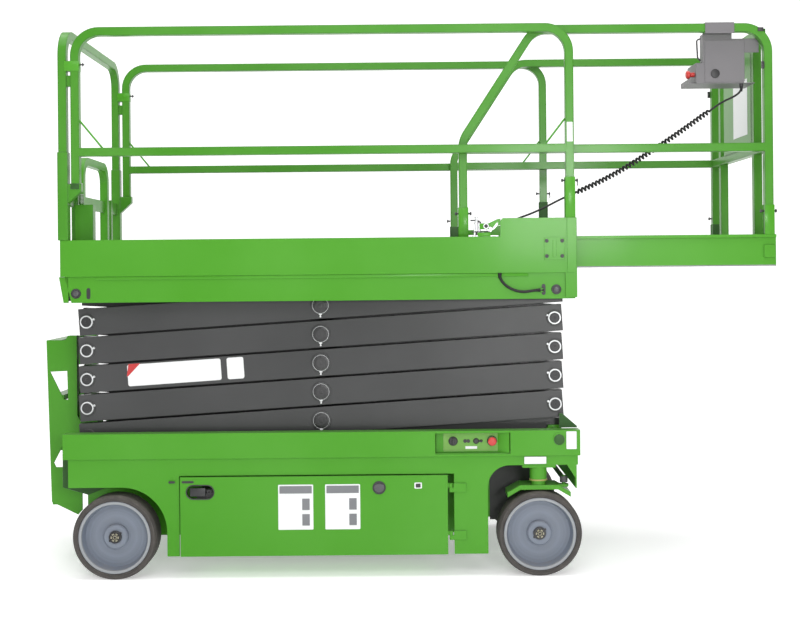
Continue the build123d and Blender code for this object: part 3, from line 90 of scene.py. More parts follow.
# %% [markdown]
# ## Camera
# The camera stands square to the side, tipped half a degree about its own axis.  A long lens from six metres
# keeps the far rails close in size to the near ones.

# %% Camera
CAMERA_SPOT = (-0.0075, -6.35, 1.404)
CAMERA_LENS = 57.6
CAMERA_SHIFT = (-0.0009, -0.059)
CAMERA_ROLL = 0.53

camera_data = bpy.data.cameras.new("camera")
camera_data.lens = CAMERA_LENS
camera_data.sensor_width = 36.0
camera_data.shift_x, camera_data.shift_y = CAMERA_SHIFT
camera = new_object("camera", camera_data)
camera.location = CAMERA_SPOT
camera.rotation_euler = (radians(90), radians(CAMERA_ROLL), 0)
bpy.context.scene.camera = camera

# %% [markdown]
# ## Routes of the cords
# Both cords hang between two fixed points.  A NURBS spline led by a few points stays smooth where straight
# runs with rounded corners would look like bent wire.

# %% Cord routes
CORD_D, COIL_D, CABLE_D = 0.0095, 0.028, 0.012
COIL_TURNS, POINTS_PER_TURN = 41, 12
cord_y, cable_y = middle_y("cord_coil"), middle_y("deck_cable")
CORD_LEAD = [(2877, 2216), (2877, 2196), (2849, 2171), (2786, 2144.5), (2733, 2107)]
CORD_COIL = [(2733, 2107), (2586, 2003), (2448, 1913), (2310, 1827), (2172, 1759), (2107, 1732)]
CORD_TAIL = [(2107, 1732), (2036, 1702.5), (1966, 1666), (1897, 1636), (1836, 1616), (1800, 1592),
             (1784, 1565), (1784, 1545)]
DECK_CABLE = [(1749, 1367), (1749, 1343), (1772, 1312), (1808, 1290), (1856, 1279), (1905, 1288),
              (1932, 1288)]


def route(points, y):
    """Turns distances along and above the machine into places."""
    return [Vector((at(along), y, up * MM)) for along, up in points]


def spline_object(name, points, radius):
    """A NURBS cord through control points.  Each point holds the cord's radius, so the curve's box stays true."""
    curve = bpy.data.curves.new(name, "CURVE")
    curve.dimensions = "3D"
    curve.bevel_depth = 1.0 if radius else 0.0
    curve.bevel_resolution = 3
    spline = curve.splines.new("NURBS")
    spline.points.add(len(points) - 1)
    for control, place in zip(spline.points, points):
        control.co = (*place, 1.0)
        control.radius = radius
    spline.order_u = 3
    spline.use_endpoint_u = True
    spline.resolution_u = 6
    spline.use_smooth = True
    return new_object(name, curve)


def line_of(points):
    """Evenly read points of the smooth line that a route's spline draws."""
    guide = spline_object("guide", points, 0.0)
    bpy.context.view_layer.update()
    drawn = bpy.data.meshes.new_from_object(guide.evaluated_get(bpy.context.evaluated_depsgraph_get()))
    places = [vertex.co.copy() for vertex in drawn.vertices]
    bpy.data.meshes.remove(drawn)
    bpy.data.objects.remove(guide)
    return places


def length_of(places):
    return sum((b - a).length for a, b in zip(places, places[1:]))


# %% [markdown]
# ## The curly cord
# One cord makes a straight lead, a helix round the sagging line, and a straight tail.  The helix grows over
# its first turn and dies away over its last, so the lead runs into it without a kink.

# %% Curly cord
def helix_round(line, turns, radius):
    """Points of a helix that follows a line."""
    total, steps = length_of(line), turns * POINTS_PER_TURN
    side = Vector((0, 1, 0))
    places, travelled, index = [], 0.0, 0
    for step in range(1, steps):
        target = total * step / steps
        while index < len(line) - 2 and travelled + (line[index + 1] - line[index]).length < target:
            travelled += (line[index + 1] - line[index]).length
            index += 1
        along = (line[index + 1] - line[index]).normalized()
        centre = line[index] + along * (target - travelled)
        swell = min(1.0, step / POINTS_PER_TURN, (steps - step) / POINTS_PER_TURN)
        turn = 2 * pi * step / POINTS_PER_TURN
        places.append(centre + (side * cos(turn) + along.cross(side) * sin(turn)) * radius * swell)
    return places


helix = helix_round(line_of(route(CORD_COIL, cord_y)), COIL_TURNS, (COIL_D - CORD_D) / 2)
curly_points = route(CORD_LEAD, cord_y)[:-1] + helix + route(CORD_TAIL, cord_y)[1:]
cable_points = route(DECK_CABLE, cable_y)
cords = []
for name, points, diameter, body, nodes in (
    ("curly_cord", curly_points, CORD_D, "extension", ("cord_lead", "cord_coil", "cord_tail")),
    ("deck_cable_cord", cable_points, CABLE_D, "platform", ("deck_cable",)),
):
    cord = spline_object(name, points, diameter / 2)
    length = length_of(line_of(points))
    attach(cord, body)
    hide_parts(*nodes)
    cords.append(cord)
    print(name, round(length, 3), "m")

# %% [markdown]
# ## Shader groups
# Real paint is never one flat colour.  It drifts slowly, wears where edges are rubbed, and gathers dust on what
# faces up.  One group does all three, and each material gives it its own values.  Edges are found by
# comparing the true normal with a rounded one.

# %% Node helpers
def plug(tree, socket, value):
    """Gives a socket its value, or a link where the value is a socket too."""
    if isinstance(value, bpy.types.NodeSocket):
        tree.links.new(value, socket)
    else:
        socket.default_value = value


def feed(tree, node, **values):
    """Fills a node in.  Each value names one of its settings or sockets."""
    for key, value in values.items():
        if hasattr(node, key):
            setattr(node, key, value)
        else:
            plug(tree, node.inputs[key.replace("_", " ")], value)
    return node


def add(tree, kind, **values):
    return feed(tree, tree.nodes.new(kind), **values)


def calc(tree, operation, *values, kind="ShaderNodeMath", **settings):
    """A node of arithmetic, its sockets filled in order; returns its outputs."""
    made = add(tree, kind, operation=operation, **settings)
    for socket, value in zip(made.inputs, values):
        plug(tree, socket, value)
    return made.outputs


def math(tree, operation, *values, clamp=False):
    return calc(tree, operation, *values, use_clamp=clamp)[0]


def vector_math(tree, operation, *values):
    return calc(tree, operation, *values, kind="ShaderNodeVectorMath")


def mixed(tree, factor, first, second):
    """A colour mix; returns its output."""
    made = add(tree, "ShaderNodeMix", data_type="RGBA")
    for index, value in ((0, factor), (6, first), (7, second)):
        plug(tree, made.inputs[index], value)
    return made.outputs[2]


def ramp(tree, value, low, high):
    """Stretches a value so that low becomes 0 and high becomes 1."""
    made = add(tree, "ShaderNodeMapRange", clamp=True, Value=value, From_Min=low, From_Max=high)
    return made.outputs["Result"]


def group_shell(name, inputs, outputs):
    """An empty shader group with its named sockets."""
    tree = bpy.data.node_groups.new(name, "ShaderNodeTree")
    kinds = {float: "NodeSocketFloat", tuple: "NodeSocketColor"}
    for label, value in inputs.items():
        socket = tree.interface.new_socket(label, in_out="INPUT", socket_type=kinds[type(value)])
        socket.default_value = value
    for label, kind in outputs.items():
        tree.interface.new_socket(label, in_out="OUTPUT", socket_type=kind)
    return tree, tree.nodes.new("NodeGroupInput").outputs, tree.nodes.new("NodeGroupOutput").inputs


# %% Group: handled surface
EDGE_RADIUS = 0.003
PATCH_SCALE = 38.0


def handled_surface_group():
    tree, given, out = group_shell(
        "handled surface",
        {"Colour": (0.5, 0.5, 0.5, 1.0), "Drift colour": (0.5, 0.5, 0.5, 1.0), "Drift": 0.5, "Drift scale": 2.0,
         "Roughness": 0.4, "Rough spread": 0.1, "Worn colour": (0.6, 0.6, 0.6, 1.0), "Wear": 0.3,
         "Dust colour": (0.5, 0.47, 0.42, 1.0), "Dust": 0.1, "Grain scale": 400.0},
        {"Colour": "NodeSocketColor", "Roughness": "NodeSocketFloat", "Height": "NodeSocketFloat"},
    )
    here = add(tree, "ShaderNodeTexCoord").outputs["Object"]
    true_normal = add(tree, "ShaderNodeNewGeometry").outputs["True Normal"]
    drift = add(tree, "ShaderNodeTexNoise", Vector=here, Scale=given["Drift scale"], Detail=4.0).outputs[0]
    patches = add(tree, "ShaderNodeTexNoise", Vector=here, Scale=PATCH_SCALE, Detail=5.0, Roughness=0.65).outputs[0]
    grain = add(tree, "ShaderNodeTexNoise", Vector=here, Scale=given["Grain scale"], Detail=2.0).outputs[0]
    rounded = add(tree, "ShaderNodeBevel", samples=4, Radius=EDGE_RADIUS).outputs[0]
    facing = vector_math(tree, "DOT_PRODUCT", rounded, true_normal)["Value"]
    edge = ramp(tree, math(tree, "SUBTRACT", 1.0, facing), 0.015, 0.16)
    chipped = math(tree, "MULTIPLY", edge, ramp(tree, patches, 0.48, 0.62))
    wear = math(tree, "MULTIPLY", chipped, given["Wear"], clamp=True)
    upward = add(tree, "ShaderNodeSeparateXYZ", Vector=true_normal).outputs["Z"]
    settled = math(tree, "MULTIPLY", ramp(tree, upward, 0.3, 0.9), ramp(tree, patches, 0.3, 0.7))
    film = math(tree, "MULTIPLY", ramp(tree, drift, 0.35, 0.75), 0.25)
    dust = math(tree, "MULTIPLY", math(tree, "ADD", settled, film), given["Dust"], clamp=True)
    drifted = math(tree, "MULTIPLY", ramp(tree, drift, 0.3, 0.7), given["Drift"])
    colour = mixed(tree, drifted, given["Colour"], given["Drift colour"])
    colour = mixed(tree, wear, colour, given["Worn colour"])
    plug(tree, out["Colour"], mixed(tree, dust, colour, given["Dust colour"]))
    rough = math(tree, "MULTIPLY", math(tree, "SUBTRACT", patches, 0.5), given["Rough spread"])
    rough = math(tree, "ADD", math(tree, "ADD", given["Roughness"], rough), math(tree, "MULTIPLY", dust, 0.4))
    plug(tree, out["Roughness"], math(tree, "MAXIMUM", rough, 0.05))
    plug(tree, out["Height"], grain)
    return tree


HANDLED = handled_surface_group()

# %% [markdown]
# ## Materials
# One recipe serves all hard finishes, because paint, plastic and steel differ mostly in their numbers.

# %% The recipe for a hard finish
COAT_ROUGHNESS = 0.12
FINISHES = {}


def hard_finish(name, colour, drift_colour, metal=0.0, coat=0.0, specular=0.5, worn=(0.6,) * 3, bump=0.02,
                bump_size=0.0003, rounding=0.0015, **values):
    """A material that puts the handled surface group through a Principled shader."""
    material = FINISHES[name] = bpy.data.materials.new(name)
    material.use_nodes = True
    tree = material.node_tree
    life = add(tree, "ShaderNodeGroup", node_tree=HANDLED)
    feed(tree, life, Colour=(*colour, 1.0), Drift_colour=(*drift_colour, 1.0), Worn_colour=(*worn, 1.0), **values)
    relief = add(tree, "ShaderNodeBump", Strength=bump, Distance=bump_size, Height=life.outputs["Height"])
    if rounding:
        plug(tree, relief.inputs["Normal"], add(tree, "ShaderNodeBevel", samples=6, Radius=rounding).outputs[0])
    feed(tree, tree.nodes["Principled BSDF"], Base_Color=life.outputs["Colour"], Roughness=life.outputs["Roughness"],
         Metallic=metal, Coat_Weight=coat, Coat_Roughness=COAT_ROUGHNESS, Specular_IOR_Level=specular,
         Normal=relief.outputs[0])
    return tree, life


# %% Paints
PAINT_CHIP = (0.02, 0.10, 0.015)
hard_finish("green_paint", (0.058, 0.272, 0.0125), (0.078, 0.325, 0.023), coat=0.1, specular=0.16, Roughness=0.33,
            worn=PAINT_CHIP, Wear=0.45, Dust=0.1, Drift=0.6, Drift_scale=1.3, rounding=0.0025)
# the rails' green is the same paint made darker: partly painted shade for the thin tubes, besides the rounded edge
# shading
hard_finish("tube_green", (0.05, 0.228, 0.013), (0.07, 0.275, 0.024), coat=0.12, specular=0.2, Roughness=0.31,
            worn=PAINT_CHIP, Wear=0.4, Dust=0.12, Drift=0.6, Drift_scale=2.2, rounding=0.009)
# shade_green is the green paint made darker: painted shade for green parts that stand in shadow
hard_finish("shade_green", (0.016, 0.075, 0.008), (0.022, 0.10, 0.012), specular=0.3, Roughness=0.45)
hard_finish("charcoal_paint", (0.028, 0.029, 0.029), (0.047, 0.048, 0.051), coat=0.22, specular=0.4, Roughness=0.36,
            worn=(0.12,) * 3, Wear=0.4, Dust=0.1, Drift=0.8, Drift_scale=1.1, rounding=0.005)
hard_finish("box_grey", (0.14, 0.135, 0.142), (0.175, 0.168, 0.172), metal=0.2, Roughness=0.42, worn=(0.36,) * 3,
            Wear=0.5, rounding=0.003)
hard_finish("cylinder_grey", (0.05, 0.052, 0.055), (0.075, 0.075, 0.08), coat=0.2, Roughness=0.38)
hard_finish("panel_yellow", (0.12, 0.33, 0.042), (0.17, 0.36, 0.05), Roughness=0.5, Drift_scale=9.0, rounding=0.0)
hard_finish("kingpin_yellow", (0.36, 0.33, 0.08), (0.25, 0.24, 0.06), Roughness=0.5, Dust=0.3)

# %% Bare metals
hard_finish("bare_steel", (0.48, 0.48, 0.49), (0.36, 0.36, 0.37), metal=1.0, Roughness=0.34, Wear=0.2, Dust=0.1,
            Drift_scale=30.0)
hard_finish("chrome", (0.72, 0.73, 0.75), (0.62, 0.63, 0.65), metal=1.0, Roughness=0.14, Wear=0.0, Dust=0.05,
            Drift_scale=20.0)
hard_finish("nut_bronze", (0.34, 0.32, 0.24), (0.2, 0.18, 0.11), metal=0.7, Roughness=0.38, Wear=0.3, Dust=0.2,
            Drift_scale=60.0)
hard_finish("zinc_ring", (0.74, 0.75, 0.76), (0.58, 0.59, 0.6), metal=0.45, Roughness=0.36, Wear=0.2, Dust=0.05,
            Drift_scale=40.0)
hard_finish("dark_bolt", (0.035, 0.035, 0.037), (0.07, 0.07, 0.072), metal=0.6, Roughness=0.42, worn=(0.3,) * 3,
            Wear=0.5)
hard_finish("floor_plate", (0.2, 0.205, 0.205), (0.28, 0.285, 0.285), metal=0.6, Roughness=0.46, bump=0.3,
            bump_size=0.0008, Grain_scale=120.0, Dust=0.3, Drift_scale=5.0)

# %% Plastics, rubber and labels
hard_finish("black_plastic", (0.018, 0.018, 0.019), (0.032, 0.032, 0.033), Roughness=0.45, worn=(0.09,) * 3,
            bump=0.12, Grain_scale=900.0)
hard_finish("red_plastic", (0.55, 0.022, 0.015), (0.42, 0.015, 0.012), coat=0.4, Roughness=0.3,
            worn=(0.6, 0.15, 0.12))
hard_finish("battery_case", (0.03, 0.03, 0.033), (0.06, 0.06, 0.063), Roughness=0.5, Dust=0.3)
hard_finish("tank_plastic", (0.08, 0.08, 0.085), (0.12, 0.12, 0.125), Roughness=0.48, Dust=0.3)
hard_finish("black_rubber", (0.008, 0.008, 0.009), (0.016, 0.016, 0.016), specular=0.3, Roughness=0.45, Wear=0.0,
            Dust=0.08, rounding=0.0)
hard_finish("label_white", (0.78, 0.79, 0.79), (0.7, 0.71, 0.72), Roughness=0.42, coat=0.1, worn=(0.5,) * 3,
            Wear=0.15, Dust=0.06, rounding=0.0)
hard_finish("label_grey", (0.16, 0.165, 0.18), (0.2, 0.2, 0.215), Roughness=0.42, rounding=0.0)
hard_finish("label_red", (0.5, 0.03, 0.03), (0.4, 0.03, 0.03), Roughness=0.42, rounding=0.0)
hard_finish("glass_face", (0.02, 0.022, 0.026), (0.03, 0.03, 0.036), Roughness=0.08, coat=1.0, Wear=0.0, Dust=0.02,
            rounding=0.0)

# %% [markdown]
# ## Tyres
# Scuffs run round a wheel, not across it.  A Mapping node therefore moves the axle to the origin, and noise
# along the distance from there makes rings.

# %% Wheel finishes
def ringed(name, centre, colour, ring_colour, rough, ring_scale):
    """A finish whose colour changes in rings round a wheel's axle."""
    tree, life = hard_finish(name, colour, ring_colour, Roughness=rough, Rough_spread=0.2, Wear=0.25,
                             worn=(0.3, 0.29, 0.28), Dust=0.3, Dust_colour=(0.3, 0.27, 0.23, 1.0),
                             Drift_scale=14.0, bump=0.25, Grain_scale=260.0)
    here = add(tree, "ShaderNodeTexCoord").outputs["Object"]
    moved = add(tree, "ShaderNodeMapping", vector_type="POINT", Vector=here, Location=(-centre.x, 0, -centre.z))
    flat = vector_math(tree, "MULTIPLY", moved.outputs[0], (1, 0, 1))[0]
    reach = vector_math(tree, "LENGTH", flat)["Value"]
    rings = add(tree, "ShaderNodeTexNoise", noise_dimensions="1D", W=reach, Scale=ring_scale, Detail=3.0).outputs[0]
    shade = mixed(tree, ramp(tree, rings, 0.35, 0.65), (*colour, 1.0), (*ring_colour, 1.0))
    plug(tree, life.inputs["Colour"], shade)


for axle, spot in AXLES.items():
    ringed(f"tyre_rubber_{axle}", spot, (0.034, 0.029, 0.028), (0.056, 0.05, 0.047), 0.72, 120.0)
    ringed(f"rim_paint_{axle}", spot, (0.185, 0.212, 0.268), (0.158, 0.183, 0.23), 0.5, 60.0)
    # the lip's paint is the rim paint made lighter: a painted highlight on the rolled lip
    ringed(f"lip_highlight_paint_{axle}", spot, (0.33, 0.345, 0.36), (0.25, 0.265, 0.285), 0.42, 60.0)

# %% [markdown]
# ## Dressing the solids
# A solid keeps its shape and only gets a finish.  The table lists what wears each one.

# %% Finishes on the solids
ARM_STAGES = range(1, 6)
DRESSED = {
    "green_paint": ["chassis_frame", "side_skirts", "near_door", "far_door", "ladder", "deck_frame", "gate",
                  "extension_frame", "ground_panel", "near_knuckle", "far_knuckle"],
    "tube_green": ["near_rail", "far_rail", "gate_frame", "near_extension_rail", "far_extension_rail", "front_rail"],
    "charcoal_paint": [f"{place}_arms_{stage}" for place in ("inner", "outer") for stage in ARM_STAGES] + ["tie_rod"],
    "cylinder_grey": ["steer_barrel", "lower_lift_barrel", "upper_lift_barrel"],
    "chrome": ["steer_rod", "lower_lift_rod", "upper_lift_rod"],
    "bare_steel": ["extension_lock"],
    "floor_plate": ["deck_floor", "extension_floor"],
    "black_plastic": ["lower_slides", "upper_slides", "ground_switches", "box_controls"],
    "box_grey": ["control_box"],
    "red_plastic": ["ground_stop", "box_stop"],
    "battery_case": ["battery_pack"],
    "tank_plastic": ["hydraulic_unit"],
}
for axle in AXLES:
    DRESSED[f"tyre_rubber_{axle}"] = [f"{side}_{axle}_tyre" for side in SIDES]
    DRESSED[f"rim_paint_{axle}"] = [f"{side}_{axle}_rim" for side in SIDES]
for finish, members in DRESSED.items():
    for member in members:
        for slot in frame["nodes"][member].material_slots:
            slot.link = "OBJECT"
            slot.material = FINISHES[finish]
for cord in cords:
    cord.data.materials.append(FINISHES["black_rubber"])
print(sum(len(members) for members in DRESSED.values()), "solids dressed")

# %% [markdown]
# ## Small shapes
# Nearly every bolted-on thing is a box with softened edges, a turned shape, a flat plate or a bent wire.  These
# helpers add them to a shared bmesh, so small parts that move together can be one piece.

# %% Shape helpers
EDGE = 0.0012
TURN_STEPS = 28
WIRE_SIDES = 10


def blanks(count):
    return [bmesh.new() for _ in range(count)]


def corners_of(items):
    """The corners among the things that an operator gives back."""
    return [item for item in items if isinstance(item, bmesh.types.BMVert)]


def fresh_verts(bm, old):
    """The corners that were added since the set of old ones was taken."""
    return [vertex for vertex in bm.verts if vertex not in old]


def soften(bm, faces, width, segments=2):
    """Bevels the edges round the given faces."""
    if width > 0:
        edges = list({edge for face in faces for edge in face.edges})
        bmesh.ops.bevel(bm, geom=edges, offset=width, offset_type="OFFSET", segments=segments, profile=0.5,
                        affect="EDGES", clamp_overlap=True, material=-1)


def add_box(bm, low, high, width=EDGE, turn=None):
    """A softened box between two corners, which may be turned about its middle."""
    low, high = Vector(low), Vector(high)
    size, middle = high - low, (high + low) / 2
    place = Matrix.Translation(middle) @ (turn or Matrix.Identity(4)) @ Matrix.Diagonal((*size, 1.0))
    made = bmesh.ops.create_cube(bm, size=1.0, matrix=place)
    soften(bm, {face for vertex in made["verts"] for face in vertex.link_faces}, width)


def add_block(bm, side, along, reach, height, width=EDGE, turn=None):
    """A softened box on one side, given by its spans along the machine, outwards and up."""
    low, high = sorted(side * value for value in reach)
    add_box(bm, (at(along[0]), low, height[0]), (at(along[1]), high, height[1]), width, turn)


def axis_turn(axis):
    """A rotation that lays the Z axis along another one."""
    return Vector((0, 0, 1)).rotation_difference(Vector(axis)).to_matrix().to_4x4()


def add_turned(bm, profile, spot, axis, steps=TURN_STEPS):
    """A turned shape.  The profile lists radius and height, and the height runs along the axis."""
    old = set(bm.verts)
    drawn = [bm.verts.new((radius, 0, height)) for radius, height in profile]
    edges = [bm.edges.new(pair) for pair in zip(drawn, drawn[1:])]
    bmesh.ops.spin(bm, geom=drawn + edges, cent=(0, 0, 0), axis=(0, 0, 1), angle=2 * pi, steps=steps,
                   use_merge=True)
    bmesh.ops.remove_doubles(bm, verts=fresh_verts(bm, old), dist=1e-6)
    bmesh.ops.transform(bm, matrix=Matrix.Translation(spot) @ axis_turn(axis), verts=fresh_verts(bm, old))


def add_hexagon(bm, spot, axis, radius, height):
    """A hexagon head that stands on a spot along an axis."""
    place = Matrix.Translation(spot + Vector(axis) * height / 2) @ axis_turn(axis)
    made = bmesh.ops.create_cone(bm, cap_ends=True, segments=6, radius1=radius, radius2=radius, depth=height,
                                 matrix=place)
    soften(bm, {face for vertex in made["verts"] for face in vertex.link_faces if len(face.verts) == 6}, EDGE)


def add_plate(bm, outline, normal_axis, start, thickness, width=EDGE / 2):
    """A flat plate with a drawn outline, extruded along an axis.  The outline holds places in the model."""
    corners = []
    for place in outline:
        corner = Vector(place)
        corner[normal_axis] = start
        corners.append(bm.verts.new(corner))
    step = Vector((0, 0, 0))
    step[normal_axis] = thickness
    grown = bmesh.ops.extrude_face_region(bm, geom=[bm.faces.new(corners)])["geom"]
    bmesh.ops.translate(bm, vec=step, verts=corners_of(grown))
    soften(bm, {item for vertex in corners for item in vertex.link_faces}, width, 1)


def add_side_plate(bm, side, outline, reach, thickness, width=EDGE / 2):
    """A plate on one side, its outline given as distances along the machine and heights."""
    add_plate(bm, [(at(along), 0, height) for along, height in outline], 1, side * reach, side * thickness, width)


def rectangle(rear, front, low, high):
    return [(rear, low), (front, low), (front, high), (rear, high)]


def add_wire(bm, points, radius, corner=0.006):
    """A bent wire or rod along straight runs with rounded corners."""
    points = [Vector(point) for point in points]
    path = [points[0]]
    for before, here, after in zip(points, points[1:], points[2:]):
        reach = min(corner, (before - here).length / 2, (after - here).length / 2)
        start, end = here + (before - here).normalized() * reach, here + (after - here).normalized() * reach
        path += [start.lerp(here, share).lerp(here.lerp(end, share), share) for share in (0, 0.25, 0.5, 0.75, 1)]
    path.append(points[-1])
    rings = []
    for index, here in enumerate(path):
        ahead = (path[min(index + 1, len(path) - 1)] - path[max(index - 1, 0)]).normalized()
        rings.append(bmesh.ops.create_circle(bm, cap_ends=False, segments=WIRE_SIDES, radius=radius,
                                             matrix=Matrix.Translation(here) @ axis_turn(ahead))["verts"])
    for first, second in zip(rings, rings[1:]):
        edges = [edge for ring in (first, second) for edge in {e for v in ring for e in v.link_edges}
                 if all(v in ring for v in edge.verts)]
        bmesh.ops.bridge_loops(bm, edges=edges)
    for ring in (rings[0], rings[-1]):
        bm.faces.new(ring)


# %% Finishing the pieces
SHARP = radians(34)
SLOT_OF = {
    "zinc_ring": "bare_steel", "dark_bolt": "bare_steel", "cylinder_grey": "bare_steel", "nut_bronze": "bare_steel",
    "shade_green": "green_paint", "glass_face": "black_plastic", "kingpin_yellow": "panel_yellow",
    "label_white": None, "label_grey": None, "label_red": None,
}
for axle in AXLES:
    SLOT_OF[f"tyre_rubber_{axle}"] = "tyre_rubber"
    SLOT_OF[f"lip_highlight_paint_{axle}"] = "rim_paint"


def mesh_object(bm, name, material):
    mesh = bpy.data.meshes.new(name)
    bm.to_mesh(mesh)
    bm.free()
    mesh.materials.append(material)
    return new_object(name, mesh)


def finish_piece(bm, name, body, finish, slot=None):
    """Turns a bmesh into one piece of the machine, riding on a body.  A slot is worked out from its finish but not
    given to the piece.
    """
    bmesh.ops.recalc_face_normals(bm, faces=bm.faces)
    for face in bm.faces:
        face.smooth = True
    for edge in bm.edges:
        edge.smooth = len(edge.link_faces) == 2 and edge.calc_face_angle(0.0) < SHARP
    piece = mesh_object(bm, name, FINISHES[finish])
    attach(piece, body)
    slot = slot or SLOT_OF.get(finish, finish)


def finish_set(prefix, body, **pieces):
    """Finishes pieces that ride together.  Each is named with its bmesh and its finish."""
    for name, (bm, *look) in pieces.items():
        finish_piece(bm, f"{prefix}_{name}", body, *look)


# %% [markdown]
# ## Pins of the arm stack
# Where two arms meet, a thin bright ring sits round the dark end of a pin, with a small grease nipple beside it.
# The ring rides on the outer arm and the pin on the inner one, so they turn against each other as the stack
# rises.

# %% Arm pins
STAGES = len(ARM_STAGES)
LEVEL_RISE = 0.132
ARM_FACE = reach_of("outer_arms_3")
rear_slide, front_pivot = axes["lower_slide_pin"].x, axes["lift"].x
arm_middle = (front_pivot + rear_slide) / 2
level_heights = [axes["lift"].z + level * LEVEL_RISE for level in range(STAGES + 1)]
RING_OUT, RING_IN, RING_T = 0.0298, 0.0238, 0.005
SMALL_NIPPLE = [(0, 0), (0.006, 0), (0.006, 0.006), (0.0042, 0.009), (0, 0.010)]
PIN_END = [(0, 0.0052), (0.0045, 0.0052), (0.006, 0.0068), (0.0215, 0.0068), (0.0226, 0.0055), (0.0226, 0), (0, 0)]
CENTRE_BOSS = [(0, 0.010), (0.007, 0.010), (0.008, 0.0088), (0.021, 0.0088), (0.024, 0.006), (0.0345, 0.0045),
               (0.0350, 0.0012), (0, 0.0012)]


def ring_profile(outer, inner, height, chamfer=0.0015):
    return [(inner, 0), (outer, 0), (outer, height - chamfer), (outer - chamfer, height), (inner, height),
            (inner, 0)]


def bolt_profile(radius, height):
    return [(0, 0), (radius, 0), (radius, height * 0.7), (radius * 0.82, height), (0, height)]


def stage_height(stage):
    """Height of the pin in the middle of a stage."""
    return (level_heights[stage - 1] + level_heights[stage]) / 2


def round_the_axle(degrees):
    """A unit step in the upright plane along the machine."""
    return Vector((cos(radians(degrees)), 0, sin(radians(degrees))))


for side_name, side in SIDES.items():
    out = Vector((0, side, 0))
    for stage in ARM_STAGES:
        rings, bolts = blanks(2)
        # outer arm: low end at the rear on level stage - 1, high end at the front on level stage
        for along, level, inward in ((rear_slide, stage - 1, 1), (front_pivot, stage, -1)):
            if 0 < level < STAGES:
                spot = Vector((along, side * (ARM_FACE - 0.0005), level_heights[level]))
                add_turned(rings, ring_profile(RING_OUT, RING_IN, RING_T), spot, out)
                add_turned(rings, SMALL_NIPPLE, spot + Vector((inward * 0.032, -side * 0.006, 0.012)), out, 14)
        # inner arm: the pins themselves, low end at the front and high end at the rear
        for along, level in ((front_pivot, stage - 1), (rear_slide, stage)):
            if 0 < level < STAGES:
                add_turned(bolts, PIN_END, (along, side * ARM_FACE, level_heights[level]), out)
        centre = Vector((arm_middle, side * ARM_FACE, stage_height(stage)))
        # the thin bright ring round the centre boss is a painted highlight for light on the boss's rounded edge
        add_turned(rings, ring_profile(0.0375, 0.0358, 0.0028, 0.0008), centre, out, 40)
        add_turned(bolts, CENTRE_BOSS, centre, out, 36)
        for angle in range(30, 390, 60):
            add_hexagon(bolts, centre + round_the_axle(angle) * 0.0285 + out * 0.0045, out, 0.0034, 0.0022)
        finish_piece(rings, f"{side_name}_arm_rings_{stage}", f"outer_stage_{stage}", "zinc_ring")
        finish_piece(bolts, f"{side_name}_arm_pins_{stage}", f"inner_stage_{stage}", "dark_bolt")

# %% [markdown]
# Each centre pin is greased through a nipple below its boss: a broad shoulder, a thin neck and a ball.

# %% Grease nipples
NIPPLE = [(0, 0), (0.0078, 0), (0.0078, 0.005), (0.0032, 0.0065), (0.0032, 0.011), (0.0046, 0.0135), (0.0036, 0.017),
          (0, 0.018)]
NIPPLE_DROP = 0.0372
for side_name, side in SIDES.items():
    for stage in ARM_STAGES:
        nipples = bmesh.new()
        spot = (arm_middle, side * (ARM_FACE + 0.003), stage_height(stage) - NIPPLE_DROP)
        add_turned(nipples, NIPPLE, spot, (0, 0, -1), 14)
        finish_piece(nipples, f"{side_name}_grease_nipples_{stage}", f"outer_stage_{stage}", "label_white")

# %% [markdown]
# ## Labels
# The labels and plates are blank.  Each is a real rounded sheet stuck to a face and not painted into a
# material, so it catches light along its edge.

# %% Labels on the arms
LABEL_T = 0.0008
LABEL_STAGE = 3
LABEL_RISE = 0.004
arm_slope = (level_heights[1] - level_heights[0]) / (front_pivot - rear_slide)
arm_outer = ARM_FACE - 0.006


def add_label(bm, side, along, reach, height, across, up, corner=0.004, thickness=LABEL_T, turn=0.0):
    """A rounded sheet on one side.  Its middle is a distance along the machine, a reach outwards and a height."""
    old = set(bm.verts)
    corners = bmesh.ops.create_grid(bm, x_segments=1, y_segments=1, size=0.5)["verts"]
    bmesh.ops.scale(bm, vec=(across, up, 1), verts=corners)
    bmesh.ops.bevel(bm, geom=corners, offset=corner, offset_type="OFFSET", segments=3, profile=0.5,
                    affect="VERTICES", material=-1)
    grown = bmesh.ops.extrude_face_region(bm, geom=[fresh_verts(bm, old)[0].link_faces[0]])["geom"]
    bmesh.ops.translate(bm, vec=(0, 0, thickness), verts=corners_of(grown))
    place = Matrix.Translation((at(along), side * reach, height)) @ Matrix.Rotation(-turn, 4, "Y")
    bmesh.ops.transform(bm, matrix=place @ Matrix.Rotation(-side * pi / 2, 4, "X"), verts=fresh_verts(bm, old))


def label_height(along):
    """Height of the labels' middle line on their sloping arm."""
    return level_heights[LABEL_STAGE - 1] + (at(along) - rear_slide) * arm_slope + LABEL_RISE


for side_name, side in SIDES.items():
    whites, reds = blanks(2)
    for along, across in ((256, 0.430), (537, 0.077)):
        add_label(whites, side, along, arm_outer, label_height(along), across, 0.099, corner=0.009, turn=arm_slope)
    # the red corner is a small slanting shape on the same slope as the arm
    corners = [(37, -0.004), (45, 0.053), (99, 0.053), (45, -0.002)]
    add_side_plate(reds, side, [(along, label_height(along) + rise) for along, rise in corners],
                   arm_outer + LABEL_T, 0.0004, 0.0)
    finish_set(side_name, f"outer_stage_{LABEL_STAGE}", arm_labels=(whites, "label_white"),
               arm_label_corner=(reds, "label_red"))

